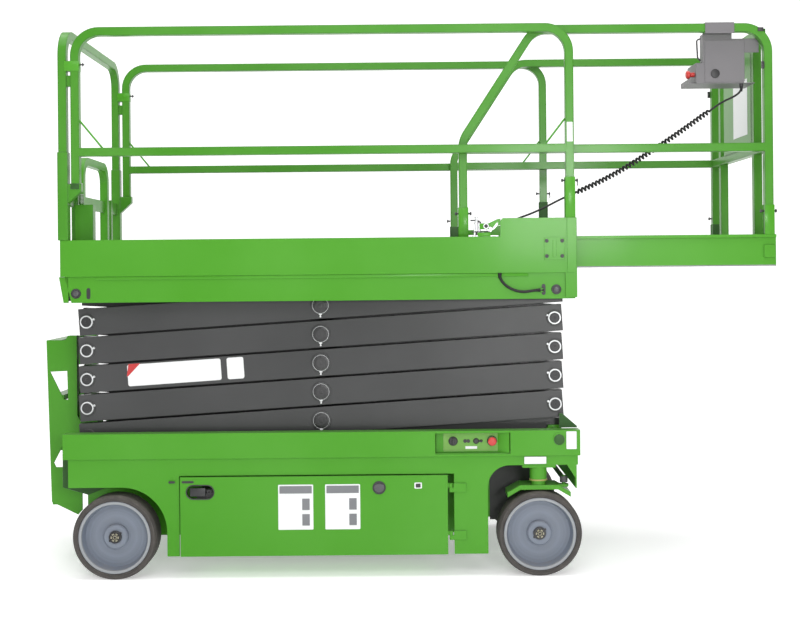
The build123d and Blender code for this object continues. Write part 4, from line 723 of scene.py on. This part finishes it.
# %% Plates on the doors
DOOR_FACE, BEAM_FACE, SKIRT_FACE = (reach_of(node) for node in ("near_door", "chassis_frame", "side_skirts"))
for side_name, side in SIDES.items():
    whites, heads = blanks(2)
    for along in (817.5, 1029.5):
        add_label(whites, side, along, DOOR_FACE, 0.3195, 0.158, 0.203)
        add_label(heads, side, along, DOOR_FACE + LABEL_T, 0.398, 0.146, 0.034, corner=0.002)
        for height in (0.332, 0.262):
            add_label(heads, side, along + 46, DOOR_FACE + LABEL_T, height, 0.034, 0.052, corner=0.002,
                      thickness=0.0003)
    finish_set(side_name, f"{side_name}_tray", door_plates=(whites, "label_white"),
               door_plate_heads=(heads, "label_grey"))

# %% Labels on the frame
for side_name, side in SIDES.items():
    frame_labels, post_label = blanks(2)
    add_label(frame_labels, side, 2064, BEAM_FACE, 0.6105, 0.046, 0.080, corner=0.003)
    add_label(frame_labels, side, 1900, SKIRT_FACE, 0.521, 0.099, 0.032, corner=0.003)
    finish_piece(frame_labels, f"{side_name}_frame_labels", "chassis", "label_white")
    add_label(post_label, side, 2071, reach_of(f"{side_name}_rail"), 2.004, 0.026, 0.088, corner=0.002)
    finish_piece(post_label, f"{side_name}_post_label", "platform", "label_white")

# %% [markdown]
# The sheet panel between the front posts carries a large blank sticker that faces the people on the deck.

# %% Sticker on the front panel
PANEL_BACK = at(2965)
sticker = bmesh.new()
add_plate(sticker, [(0, across, height) for across, height in rectangle(-0.230, 0.026, 2.017, 2.286)], 0, PANEL_BACK,
          -LABEL_T)
finish_piece(sticker, "front_panel_sticker", "extension", "label_white")

# %% [markdown]
# ## Wheels
# A rim shows a rolled lip made lighter as a painted highlight, a dished disc and a castle nut in a well darkened as
# painted shade.  The dish comes with the solid.
# The rest is turned, and the nut's lugs are softened boxes set round its axis.

# %% Wheel fittings
TYRE_FACE = reach_of("near_rear_tyre")
NUT_LUGS = 6
LUG_REACH, LUG_HALF = 0.0155, Vector((0.0035, 0.0035, 0.0055))
WELL_SCREWS = (35, 215)
LIP = [(0.1496, -0.010), (0.1496, 0.0005), (0.1515, 0.0024), (0.1605, 0.0024), (0.163, 0.0006), (0.163, -0.010),
       (0.1496, -0.010)]
# the well round the nut is dark bolt colour on the rim: painted shade in the recess
HUB_SHADE_WELL = [(0, 0.001), (0.0262, 0.001), (0.0280, -0.001), (0.0290, -0.0099), (0.0255, -0.0099), (0.0255, -0.006),
        (0, -0.006), (0, 0.001)]
WHEELS = [(axle, spot, name, side) for axle, spot in AXLES.items() for name, side in SIDES.items()]
for axle, spot, side_name, side in WHEELS:
    out = Vector((0, side, 0))
    hub = Vector((spot.x, side * (TYRE_FACE - 0.012), spot.z))
    lips, shaded_wells, nuts = blanks(3)
    add_turned(lips, LIP, (spot.x, side * (TYRE_FACE - 0.003), spot.z), out, 64)
    add_turned(shaded_wells, HUB_SHADE_WELL, hub, out, 32)
    for angle in WELL_SCREWS:
        place = hub + round_the_axle(angle) * 0.030 - out * 0.0072
        add_turned(shaded_wells, bolt_profile(0.0050, 0.0012), place, out, 14)
    for index in range(NUT_LUGS):
        turn = Matrix.Rotation(2 * pi * index / NUT_LUGS, 4, "Y")
        middle = hub + turn @ Vector((LUG_REACH, 0, 0)) + out * 0.0035
        add_box(nuts, middle - LUG_HALF, middle + LUG_HALF, turn=turn)
    add_turned(nuts, ring_profile(0.0095, 0.0055, 0.0045), hub + out * 0.0008, out, 20)
    finish_set(f"{side_name}_{axle}", f"{side_name}_{axle}_wheel", rim_lip=(lips, f"lip_highlight_paint_{axle}"),
               hub_well=(shaded_wells, "dark_bolt", "rim_paint"), hub_nut=(nuts, "nut_bronze"))

# %% [markdown]
# Two turned rings on each side wall stand for the moulded step and the bead line.

# %% Tyre mouldings
for axle, spot, side_name, side in WHEELS:
    rings = bmesh.new()
    for radius, height in ((0.1685, -0.0008), (0.1790, -0.0012)):
        inner, outer = radius - 0.0022, radius + 0.0022
        add_turned(rings, [(inner, 0), (outer, 0), (radius + 0.0012, 0.0016), (radius - 0.0012, 0.0016), (inner, 0)],
                   (spot.x, side * (TYRE_FACE + height), spot.z), (0, side, 0), 72)
    finish_piece(rings, f"{side_name}_{axle}_tyre_mouldings", f"{side_name}_{axle}_wheel", f"tyre_rubber_{axle}")

# %% [markdown]
# A yellow band marks each kingpin housing over the steered wheels.

# %% Kingpin rings
KINGPIN_RING_Z = 0.4245
rings = bmesh.new()
for joint in ("steer", "far_steer"):
    add_turned(rings, ring_profile(0.0415, 0.0384, 0.007), (*axes[joint].xy, KINGPIN_RING_Z), (0, 0, 1), 40)
finish_piece(rings, "kingpin_rings", "chassis", "kingpin_yellow")

# %% [markdown]
# ## Ground controls
# The recess in the near beam has a yellow-green sheet stuck to its back.  A key switch, two buttons and a collar
# for the stop button stand on it.

# %% Ground controls
sheets, collars, buttons, strips = blanks(4)
PANEL_FACE = BEAM_FACE - 0.030
OUT_NEAR = (0, NEAR, 0)
add_label(sheets, NEAR, 1613, PANEL_FACE, 0.6015, 0.252, 0.0815)
for along, radius in ((1531, 0.0190), (1635, 0.0112), (1658, 0.0048)):
    spot = (at(along), -PANEL_FACE - LABEL_T, 0.607)
    button = [(0, 0), (radius, 0), (radius, 0.007), (radius * 0.86, 0.009), (0, 0.009)]
    add_turned(buttons, button, spot, OUT_NEAR, 24)
    add_turned(collars, ring_profile(radius + 0.0022, radius, 0.0022), spot, OUT_NEAR, 24)
add_block(buttons, NEAR, (1527.5, 1534.5), (PANEL_FACE + 0.008, PANEL_FACE + 0.026), (0.595, 0.619))
add_turned(collars, ring_profile(0.0232, 0.0200, 0.004), (at(1707), -PANEL_FACE, 0.607), OUT_NEAR, 28)
add_label(strips, NEAR, 1613, PANEL_FACE + LABEL_T, 0.5775, 0.053, 0.012, corner=0.0015)
finish_set("ground_panel", "chassis", sheet=(sheets, "panel_yellow"), collars=(collars, "dark_bolt"),
           buttons=(buttons, "black_plastic"), strip=(strips, "label_white"))

# %% [markdown]
# ## Doors
# Each compartment door has an oval cup with a paddle latch, a slot, a gauge and a small socket, and the skirt
# beside it has a slot of its own.  The cup is a turned ring whose two halves are pulled apart into an oval.

# %% Door fittings
LATCH_AT, LATCH_Z, LATCH_DEPTH = 386, 0.390, 0.011
CUP_STRETCH = 0.031
CUP = [(0.0292, -0.0135), (0.0292, 0.001), (0.0335, 0.0025), (0.0345, 0.0), (0.0292, -0.0135)]
for side_name, side in SIDES.items():
    body, out = f"{side_name}_tray", (0, side, 0)
    cup, paddle, skirt_slot, blacks, faces, rims = blanks(6)
    add_turned(cup, CUP, (0, 0, 0), (0, 0, 1), 32)
    for vertex in cup.verts:
        if abs(vertex.co.x) > 0.0001:
            vertex.co.x += CUP_STRETCH if vertex.co.x > 0 else -CUP_STRETCH
    stand = Matrix.Translation((at(LATCH_AT), side * (DOOR_FACE - 0.0005), LATCH_Z)) @ axis_turn(out)
    bmesh.ops.transform(cup, matrix=stand, verts=cup.verts)
    add_block(paddle, side, (LATCH_AT - 46, LATCH_AT + 24), (DOOR_FACE - LATCH_DEPTH, DOOR_FACE),
              (LATCH_Z - 0.019, LATCH_Z + 0.019), 0.004)
    add_turned(paddle, ring_profile(0.0105, 0.0055, 0.004),
               (at(LATCH_AT + 40), side * (DOOR_FACE - LATCH_DEPTH), LATCH_Z), out, 24)
    gauge = (at(1194.5), side * DOOR_FACE, 0.404)
    add_turned(blacks, ring_profile(0.030, 0.0235, 0.004), gauge, out, 40)
    add_turned(faces, bolt_profile(0.0236, 0.0022), gauge, out, 32)
    add_label(blacks, side, 1370.5, DOOR_FACE, 0.412, 0.022, 0.018, corner=0.002, thickness=0.0012)
    add_label(blacks, side, 331, DOOR_FACE, 0.4365, 0.055, 0.0105, corner=0.005, thickness=0.0009)
    add_label(skirt_slot, side, 259, SKIRT_FACE, 0.4365, 0.030, 0.0105, corner=0.005, thickness=0.0009)
    add_label(rims, side, 1370.5, DOOR_FACE, 0.412, 0.034, 0.027, corner=0.003)
    finish_set(side_name, body, latch_cup=(cup, "black_plastic"), latch_paddle=(paddle, "dark_bolt", "black_plastic"))
    finish_piece(skirt_slot, f"{side_name}_skirt_slot", "chassis", "black_plastic")
    finish_set(side_name, body, gauge_bezels=(blacks, "black_plastic"), gauge_faces=(faces, "glass_face"),
               socket_frame=(rims, "zinc_ring"))

# %% [markdown]
# ## Platform edge
# The deck's side beam shows a headed pin and an upright slot at each end, a thin lip under the toe board, a
# bolted plate and a post strip at the front, and a tapered rear end.

# %% Deck beam fittings
DECK_FACE = reach_of("deck_floor") + 0.006
BEAM_OUT = DECK_FACE - 0.008
TOP_PIN_Z = level_heights[-1]
TOE_LOW, DECK_LOW, GAP = 1.3670, 1.2490, 0.0005
PIN_HEAD = [(0, 0), (0.0225, 0), (0.0225, 0.003), (0.0205, 0.005), (0.0165, 0.005), (0.0150, 0.0036), (0, 0.0036)]
PIN_CAP = [(0, 0.003), (0.0125, 0.003), (0.0125, 0.0058), (0.0110, 0.0066), (0.0045, 0.0066), (0.0035, 0.0050),
           (0, 0.0050)]
REAR_TAPER = [(-248, TOE_LOW - GAP), (-228, DECK_LOW + GAP), (-206, DECK_LOW + GAP), (-206, TOE_LOW - GAP)]


def slot_outline(along, height, half_width, half_height, steps=6):
    """Corners of an upright slot with round ends."""
    corners = []
    for end, start in ((1, 0), (-1, 180)):
        for step in range(steps + 1):
            angle = radians(start + 180 * step / steps)
            corners.append((along + cos(angle) * half_width / MM,
                            height + end * (half_height - half_width) + sin(angle) * half_width))
    return corners


for side_name, side in SIDES.items():
    out = (0, side, 0)
    bolts, washers, slots, plates = blanks(4)
    for along in (at(-171), front_pivot):
        spot = (along, side * BEAM_OUT, TOP_PIN_Z)
        add_turned(bolts, PIN_HEAD, spot, out)
        add_turned(washers, PIN_CAP, spot, out, 20)
    for along in (-114.5, 1947.3):
        add_side_plate(slots, side, slot_outline(along, TOP_PIN_Z, 0.0088, 0.0255), BEAM_OUT - GAP, 0.0012, 0.0)
    add_side_plate(plates, side, rectangle(1950, 2044, 1.424, 1.528), DECK_FACE, 0.0025)
    add_side_plate(plates, side, rectangle(1989, 2005, 1.438, 1.514), DECK_FACE + 0.0025, 0.0012)
    for along in (1962, 2032):
        for height in (1.442, 1.511):
            add_turned(bolts, bolt_profile(0.0085, 0.0042), (at(along), side * (DECK_FACE + 0.0025), height), out, 16)
    # a strip that carries the corner post down the front end of the toe board
    add_side_plate(plates, side, rectangle(2054, 2096, TOE_LOW + GAP, 1.6155), DECK_FACE, 0.0030)
    # lip under the toe board
    add_block(plates, side, (-80, 1878), (BEAM_OUT - GAP, BEAM_OUT + 0.0045), (1.3515, TOE_LOW - GAP), 0.0008)
    add_side_plate(plates, side, REAR_TAPER, BEAM_OUT - 0.008, 0.008)
    finish_set(side_name, "platform", deck_bolts=(bolts, "dark_bolt"), deck_pin_caps=(washers, "cylinder_grey"),
               deck_slots=(slots, "black_plastic"), deck_plates=(plates, "green_paint"))

# %% [markdown]
# ## Rail fittings
# The rails' legs stand in folded feet, held by a pin that runs straight through.  A foot shows two thin cheeks,
# and a pin has a domed head on each end.

# %% Rail feet and pins
TUBE_HALF = 0.019
MAIN_Y = reach_of("near_rail") - TUBE_HALF
EXTENSION_Y = reach_of("near_extension_rail") - TUBE_HALF
FOOT_T, FOOT_HALF = 0.0025, 22.5
# near feet wear the green paint; far feet wear shade_green as painted shade for their shadowed lower ends, and that
# dark part ends lower than on a near foot
foot_paint_and_shade = {NEAR: "green_paint", FAR: "shade_green"}
PIN_DOME = [(0, 0), (0.0042, 0), (0.0042, 0.010), (0.0085, 0.011), (0.0085, 0.0145), (0.006, 0.017), (0, 0.0175)]
HINGE_PIN = [(0, 0), (0.0035, 0), (0.0035, 0.012), (0.0085, 0.013), (0.0085, 0.0155), (0.003, 0.016), (0.003, 0.021),
             (0, 0.0215)]


def add_foot(bm, side, along, y, low, high):
    """A folded bracket round the lower end of a rail leg, seen as its two cheeks."""
    for edge in (NEAR, FAR):
        cheek = y + edge * TUBE_HALF, y + edge * (TUBE_HALF + FOOT_T)
        add_block(bm, side, (along - FOOT_HALF, along + FOOT_HALF), cheek, (low, high), 0.0005)


def add_cross_pin(bm, along, y, height):
    """A pin straight through a foot along the machine, with a domed head on both ends."""
    for way in (NEAR, FAR):
        add_turned(bm, PIN_DOME, (at(along + way * 21), y, height), (way, 0, 0), 16)


def add_hanging_ring(bm, spot, radius=0.010):
    """A ring of wire that hangs from the head of a pin."""
    path = [Vector(spot) + Vector((0, cos(radians(turn)), sin(radians(turn)) - 1.0)) * radius
            for turn in range(90, 451, 30)]
    add_wire(bm, path, 0.0011, 0.002)


for side_name, side in SIDES.items():
    near = side == NEAR
    feet, pins = blanks(2)
    add_foot(feet, side, 2071, MAIN_Y, 1.6155, 1.800 if near else 1.740)
    add_cross_pin(pins, 2071, side * MAIN_Y, 1.785)
    add_hanging_ring(pins, (at(2107), side * MAIN_Y, 1.780))
    finish_set(side_name, "platform", front_foot=(feet, foot_paint_and_shade[side]), front_foot_pins=(pins, "dark_bolt"))
    feet, pins = blanks(2)
    for along in (1589, 2986):
        add_foot(feet, side, along, EXTENSION_Y, 1.5325, 1.668 if near else 1.610)
        add_cross_pin(pins, along, side * EXTENSION_Y, 1.640)
    finish_set(side_name, "extension", extension_feet=(feet, foot_paint_and_shade[side]),
               extension_foot_pins=(pins, "dark_bolt"))
    # a dark block of painted shade in the recess under each rear leg, and brackets and pins at the rear legs of the
    # main rails
    recess_shades, brackets, pins = blanks(3)
    add_block(recess_shades, side, (-190, -150), (MAIN_Y + 0.0185, MAIN_Y + 0.0215), (1.764, 1.790))
    add_block(brackets, side, (-214, -147.5), (MAIN_Y - 0.0205, MAIN_Y + 0.0205), (2.299, 2.345), 0.002)
    add_turned(pins, HINGE_PIN, (at(-147.8), side * MAIN_Y, 2.330), (1, 0, 0), 14)
    finish_set(side_name, "platform", rear_rail_seat=(recess_shades, "shade_green"),
               rear_rail_bracket=(brackets, "green_paint"), rear_rail_pins=(pins, "dark_bolt"))

# %% [markdown]
# Thin rods brace the main rails' corners, and small dark blocks sit on the extension's front corners.

# %% Corner stays and caps
CORNER_STAYS = ((-151, 2.077, -47), (2052, 2.066, 1962))
CAP_REACH = [EXTENSION_Y + TUBE_HALF + value for value in (-0.0005, 0.0045)]
for side_name, side in SIDES.items():
    stays, caps = blanks(2)
    for post, top, foot in CORNER_STAYS:
        add_wire(stays, [(at(post), side * MAIN_Y, top), (at(foot), side * MAIN_Y, 1.950)], 0.0045)
    finish_piece(stays, f"{side_name}_corner_stays", "platform", "green_paint")
    add_block(caps, side, (2939, 2965), CAP_REACH, (2.459, 2.477), 0.002)
    add_block(caps, side, (2954, 2968), CAP_REACH, (2.288, 2.322), 0.002)
    finish_piece(caps, f"{side_name}_top_rail_caps", "extension", "black_plastic")

# %% [markdown]
# ## Control box
# A broad sheet covers the side of the box, with a round plug near its rear, and a wire guard stands off the rear
# edge.  The lid carries a row of rockers and a rubber boot round the stick.  The boot is one turned zigzag.

# %% Control box
BOX_TOP = 2.324
BOX_FACE = 0.4665
SHEET_T = 0.0022
guards, rockers, boots, sheets, sockets = blanks(5)
add_side_plate(sheets, NEAR, [(2707, 2.2345), (2885, 2.2345), (2889.5, 2.239), (2889.5, 2.428), (2707, 2.428)],
               BOX_FACE, SHEET_T)
add_turned(sockets, bolt_profile(0.0205, 0.0045), (at(2754), -BOX_FACE - SHEET_T, 2.274), OUT_NEAR, 32)
guard = [(2690, 2.436), (2672, 2.430), (2676, 2.346), (2690, 2.335)]
add_wire(guards, [(at(along), 0.008 - BOX_FACE, height) for along, height in guard], 0.0036, 0.010)
for along in (2705, 2735, 2815, 2845):
    add_block(rockers, NEAR, (along - 9, along + 9), (0.418, 0.440), (BOX_TOP - 0.001, BOX_TOP + 0.008), 0.002)
folds = [(0.034 - 0.0045 * step + (0.004 if step % 2 else 0), 0.0035 * step) for step in range(7)]
add_turned(boots, [(0, 0), (0.036, 0)] + folds + [(0, folds[-1][1] + 0.002)], (at(2777), -0.345, BOX_TOP),
           (0, 0, 1), 32)
finish_set("box", "extension", side_sheet=(sheets, "box_grey"), side_plug=(sockets, "black_plastic"),
           guard=(guards, "dark_bolt"), rockers=(rockers, "black_plastic"), boot=(boots, "black_rubber"))

# %% [markdown]
# ## Strain reliefs
# A cord never leaves a housing bare.  A tapered rubber sleeve takes its bending.

# %% Strain reliefs
RIDGES = 5


def add_relief(bm, spot, axis, root, tip, length):
    """A tapered sleeve with ridges, which starts at a spot and runs along an axis."""
    profile = [(0, 0)]
    for step in range(RIDGES):
        share = step / RIDGES
        radius = root + (tip - root) * share
        profile += [(radius, length * share), (radius, length * (share + 0.12)),
                    (radius - 0.0008, length * (share + 0.14)), (radius - 0.0008, length * (share + 0.19))]
    add_turned(bm, profile + [(tip, length), (0, length)], spot, axis, 20)


reliefs = bmesh.new()
for end, way in ((0, -1), (-1, 1)):
    add_relief(reliefs, curly_points[end] - Vector((0, 0, way * 0.002)), (0, 0, way), 0.0085, 0.0042, 0.026)
finish_piece(reliefs, "curly_cord_reliefs", "extension", "black_rubber")
reliefs = bmesh.new()
add_relief(reliefs, cable_points[0], (0, 0, -1), 0.0095, 0.0065, 0.024)
add_relief(reliefs, (at(1948), cable_y, 1.288), (-1, 0, 0), 0.0098, 0.0062, 0.036)
finish_piece(reliefs, "deck_cable_reliefs", "platform", "black_rubber")

# %% [markdown]
# ## Lock and latch
# The extension is held by a spring pin in a small barrel on a thin base.  A boss with a ring sits beside it, and
# a lever rises from the boss.  The gate's latch has a spring of bent wire.

# %% Lock and latch
LOCK_AT, BOSS_AT, BOSS_Z = 1645, 1689, 1.580
LOCK_Y = (0.5335, 0.5585)
LOCK_BARREL = [(0, 0), (0.0115, 0), (0.0115, 0.036), (0.0095, 0.040), (0.0055, 0.041), (0.0055, 0.058),
               (0.0075, 0.060), (0.0075, 0.066), (0, 0.068)]
LEVER = [(1694, 1.571), (1754, 1.585), (1754, 1.6145), (1738, 1.611), (1694, 1.590)]


def inset(span, by):
    return span[0] + by, span[1] - by


for side_name, side in SIDES.items():
    steels, greens, darks = blanks(3)
    lock_y, out = side * sum(LOCK_Y) / 2, (0, side, 0)
    add_turned(steels, LOCK_BARREL, (at(LOCK_AT), lock_y, 1.5575), (0, 0, 1), 20)
    add_turned(steels, ring_profile(0.0128, 0.0085, 0.004), (at(BOSS_AT), side * (LOCK_Y[1] - 0.002), BOSS_Z), out, 24)
    add_block(greens, side, (1655, 1703), inset(LOCK_Y, 0.003), (1.566, 1.593), 0.003)
    add_side_plate(greens, side, LEVER, LOCK_Y[0] + 0.010, 0.008)
    add_block(greens, side, (1650, 1709), LOCK_Y, (1.5332, 1.5515), 0.001)
    add_block(darks, side, (1622, 1707), LOCK_Y, (1.5525, 1.5565), 0.001)
    add_block(darks, side, (1619, 1640), inset(LOCK_Y, 0.004), (1.6035, 1.6095), 0.001)
    add_turned(darks, bolt_profile(0.0085, 0.018), (at(LOCK_AT), lock_y, 1.5335), (0, 0, 1), 16)
    add_turned(darks, bolt_profile(0.0082, 0.003), (at(BOSS_AT), side * (LOCK_Y[1] - 0.003), BOSS_Z), out, 16)
    add_block(darks, side, (1652, 1668), inset(LOCK_Y, 0.006), (1.597, 1.603), 0.001,
              Matrix.Rotation(radians(25), 4, "Y"))
    finish_set(side_name, "platform", lock_barrel=(steels, "zinc_ring"), lock_lever=(greens, "green_paint"),
               lock_base=(darks, "dark_bolt"))
SPRING_TURNS, SPRING_STEPS, SPRING_R = 7, 12, 0.0115
SPRING_LOW, SPRING_RISE = 1.704, 0.044
latch = bmesh.new()
latch_x, latch_y = at(-180), -0.405
total = SPRING_TURNS * SPRING_STEPS
coil = [(latch_x + SPRING_R * cos(2 * pi * step / SPRING_STEPS), latch_y + SPRING_R * sin(2 * pi * step / SPRING_STEPS),
         SPRING_LOW + SPRING_RISE * step / total) for step in range(total + 1)]
add_wire(latch, coil, 0.0015, 0.0008)
add_turned(latch, [(0, 0), (0.008, 0), (0.008, 0.050), (0.005, 0.052), (0, 0.052)], (latch_x, latch_y, 1.749),
           (0, 0, 1), 20)
finish_piece(latch, "gate_latch_spring", "platform", "bare_steel")

# %% [markdown]
# ## Frame ends
# A domed plug closes the hole over each fixed pivot.  A gusset slopes down to the front end of each beam, and
# a stay stands behind the rear one; all three wear the darker green of painted shade.  Black sheets towards the middle
# are painted shade in the wheel wells.

# %% Plugs, gussets and painted shade in the wheel wells
SPINE_FACE = 0.290
PLUG = [(0, 0), (0.0245, 0), (0.0235, 0.0022), (0.012, 0.0040), (0, 0.0044)]
GUSSET = [(2020, 0.6565), (2101, 0.6565), (2101, 0.664), (2034, 0.722), (2020, 0.722)]
WELL_SHADE_OUTLINE = [(1712, 0.200), (1800, 0.200), (1925, 0.316), (1925, 0.540), (1712, 0.540)]
REAR_STAY = [(-268, 0.395), (-150, 0.360), (-60, 0.395), (-60, 0.5465), (-231, 0.5465), (-231, 0.600), (-268, 0.600)]
for side_name, side in SIDES.items():
    plugs, gussets, well_shades, stays = blanks(4)
    add_turned(plugs, PLUG, (at(2009), side * BEAM_FACE, 0.613), (0, side, 0), 32)
    add_side_plate(gussets, side, GUSSET, 0.484, 0.006)
    add_side_plate(well_shades, side, WELL_SHADE_OUTLINE, SPINE_FACE, 0.0015, 0.0)
    add_side_plate(stays, side, REAR_STAY, 0.436, 0.006)
    # plug, gusset and stay wear shade_green as painted shade, and the black sheets on the spine are painted shade in
    # the wheel wells
    finish_set(side_name, "chassis", pivot_plug=(plugs, "shade_green"), corner_gusset=(gussets, "shade_green"),
               well_liner=(well_shades, "black_plastic"), rear_stay=(stays, "shade_green"))

# %% [markdown]
# ## Decks
# Both decks are tread plate: raised lozenges that lie one way and the other by turns.  A block of four is copied
# along the deck, and the row it makes is copied across.

# %% Tread
LOZENGE = (0.030, 0.0085, 0.0012)
PITCH = 0.034
TREAD_MARGIN = 0.03


def add_lozenge(bm, spot, turn):
    place = Matrix.Translation(spot) @ Matrix.Rotation(turn, 4, "Z") @ Matrix.Diagonal((*LOZENGE, 1.0))
    made = bmesh.ops.create_cube(bm, size=1.0, matrix=place)["verts"]
    top = [vertex for vertex in made if vertex.co.z > spot.z]
    middle = sum((vertex.co for vertex in top), Vector()) / len(top)
    bmesh.ops.scale(bm, vec=(0.72, 0.72, 1), space=Matrix.Translation(-middle), verts=top)
    bottom = [face for face in bm.faces if all(vertex.co.z < spot.z for vertex in face.verts)]
    bmesh.ops.delete(bm, geom=bottom, context="FACES_ONLY")


def repeat(bm, step, count):
    """Repeats everything in the bmesh along a step until there are count copies."""
    one = list(bm.verts) + list(bm.edges) + list(bm.faces)
    for index in range(1, count):
        copied = bmesh.ops.duplicate(bm, geom=one)["geom"]
        bmesh.ops.translate(bm, vec=Vector(step) * index, verts=corners_of(copied))


def tread_field(name, low, high, height, body):
    """Lozenges over a rectangle of deck."""
    field = bmesh.new()
    pairs_along, pairs_across = (int((end - start) / (2 * PITCH)) for start, end in zip(low, high))
    start = Vector(((low[0] + high[0]) / 2 - (pairs_along - 0.5) * PITCH,
                    (low[1] + high[1]) / 2 - (pairs_across - 0.5) * PITCH, height + LOZENGE[2] / 2 - 0.0002))
    for column in range(2):
        for row in range(2):
            lean = 1 if (column + row) % 2 else -1
            add_lozenge(field, start + Vector((column, row, 0)) * PITCH, lean * pi / 4)
    repeat(field, (2 * PITCH, 0, 0), pairs_along)
    repeat(field, (0, 2 * PITCH, 0), pairs_across)
    finish_piece(field, name, body, "floor_plate")


deck_low, deck_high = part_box("deck_floor")
extension_low, extension_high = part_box("extension_floor")
tread_field("deck_tread", (deck_low.x + TREAD_MARGIN, -0.505), (extension_low.x - TREAD_MARGIN, 0.505), deck_high.z,
            "platform")
tread_field("extension_tread", (extension_low.x + TREAD_MARGIN, -0.47), (extension_high.x - TREAD_MARGIN, 0.47),
            extension_high.z, "extension")

# %% [markdown]
# ## Floor and light
# A plain pale floor rises into a backdrop far behind the machine, so no edge shows.  It glows a little more away
# from the machine, so that its far part stays white.  Soft light comes from three panels: one overhead, one
# high in front, and a small low one whose sheen lies on the paint.

# %% Stage
FLOOR_HALF = 34
FLOOR_PROFILE = ((-30, 0), (24, 0), (30, 0.8), (34, 5), (36, 24))
GLOW_REACH, GLOW_NEAR, GLOW_FAR = 9, 0.34, 0.62
WORLD_LIGHT = 0.5

floor_material = bpy.data.materials.new("studio_floor")
floor_material.use_nodes = True
tree = floor_material.node_tree
here = add(tree, "ShaderNodeTexCoord").outputs["Object"]
scaled = add(tree, "ShaderNodeMapping", Vector=here, Scale=(1 / GLOW_REACH,) * 3).outputs["Vector"]
ball = add(tree, "ShaderNodeTexGradient", gradient_type="SPHERICAL", Vector=scaled).outputs["Fac"]
glow = add(tree, "ShaderNodeMapRange", Value=ball, To_Min=GLOW_FAR, To_Max=GLOW_NEAR).outputs["Result"]
feed(tree, tree.nodes["Principled BSDF"], Base_Color=(0.92, 0.92, 0.92, 1), Roughness=0.9,
     Emission_Color=(1, 1, 1, 1), Emission_Strength=glow)
floor = bmesh.new()
profile = [floor.verts.new((-FLOOR_HALF, y, z)) for y, z in FLOOR_PROFILE]
edges = [floor.edges.new(pair) for pair in zip(profile, profile[1:])]
grown = bmesh.ops.extrude_edge_only(floor, edges=edges)["geom"]
bmesh.ops.translate(floor, vec=(2 * FLOOR_HALF, 0, 0), verts=corners_of(grown))
bmesh.ops.recalc_face_normals(floor, faces=floor.faces)
for face in floor.faces:
    face.smooth = True
    if face.normal.z < 0:
        face.normal_flip()
mesh_object(floor, "studio_floor", floor_material)

world = bpy.data.worlds.new("studio")
world.use_nodes = True
feed(world.node_tree, world.node_tree.nodes["Background"], Color=(1, 1, 1, 1), Strength=WORLD_LIGHT)
bpy.context.scene.world = world
bpy.context.scene.view_settings.view_transform = "Standard"

LIGHTS = {
    "overhead": ((0.0, -0.5, 5.4), (0, 0, 1.0), (6.0, 4.0), 190),
    "front_panel": ((-0.5, -8.5, 6.3), (0, 0, 1.2), (5.0, 3.0), 220),
    "sheen_panel": ((1.7, -8.2, 2.1), (0.8, 0, 1.5), (1.3, 1.2), 150),
}
for name, (spot, target, size, power) in LIGHTS.items():
    lamp = bpy.data.lights.new(name, "AREA")
    lamp.shape = "RECTANGLE"
    lamp.size, lamp.size_y = size
    lamp.energy = power
    made = new_object(name, lamp)
    made.location = spot
    made.rotation_euler = (Vector(target) - Vector(spot)).to_track_quat("-Z", "Y").to_euler()
print("lit by", len(LIGHTS), "panels")
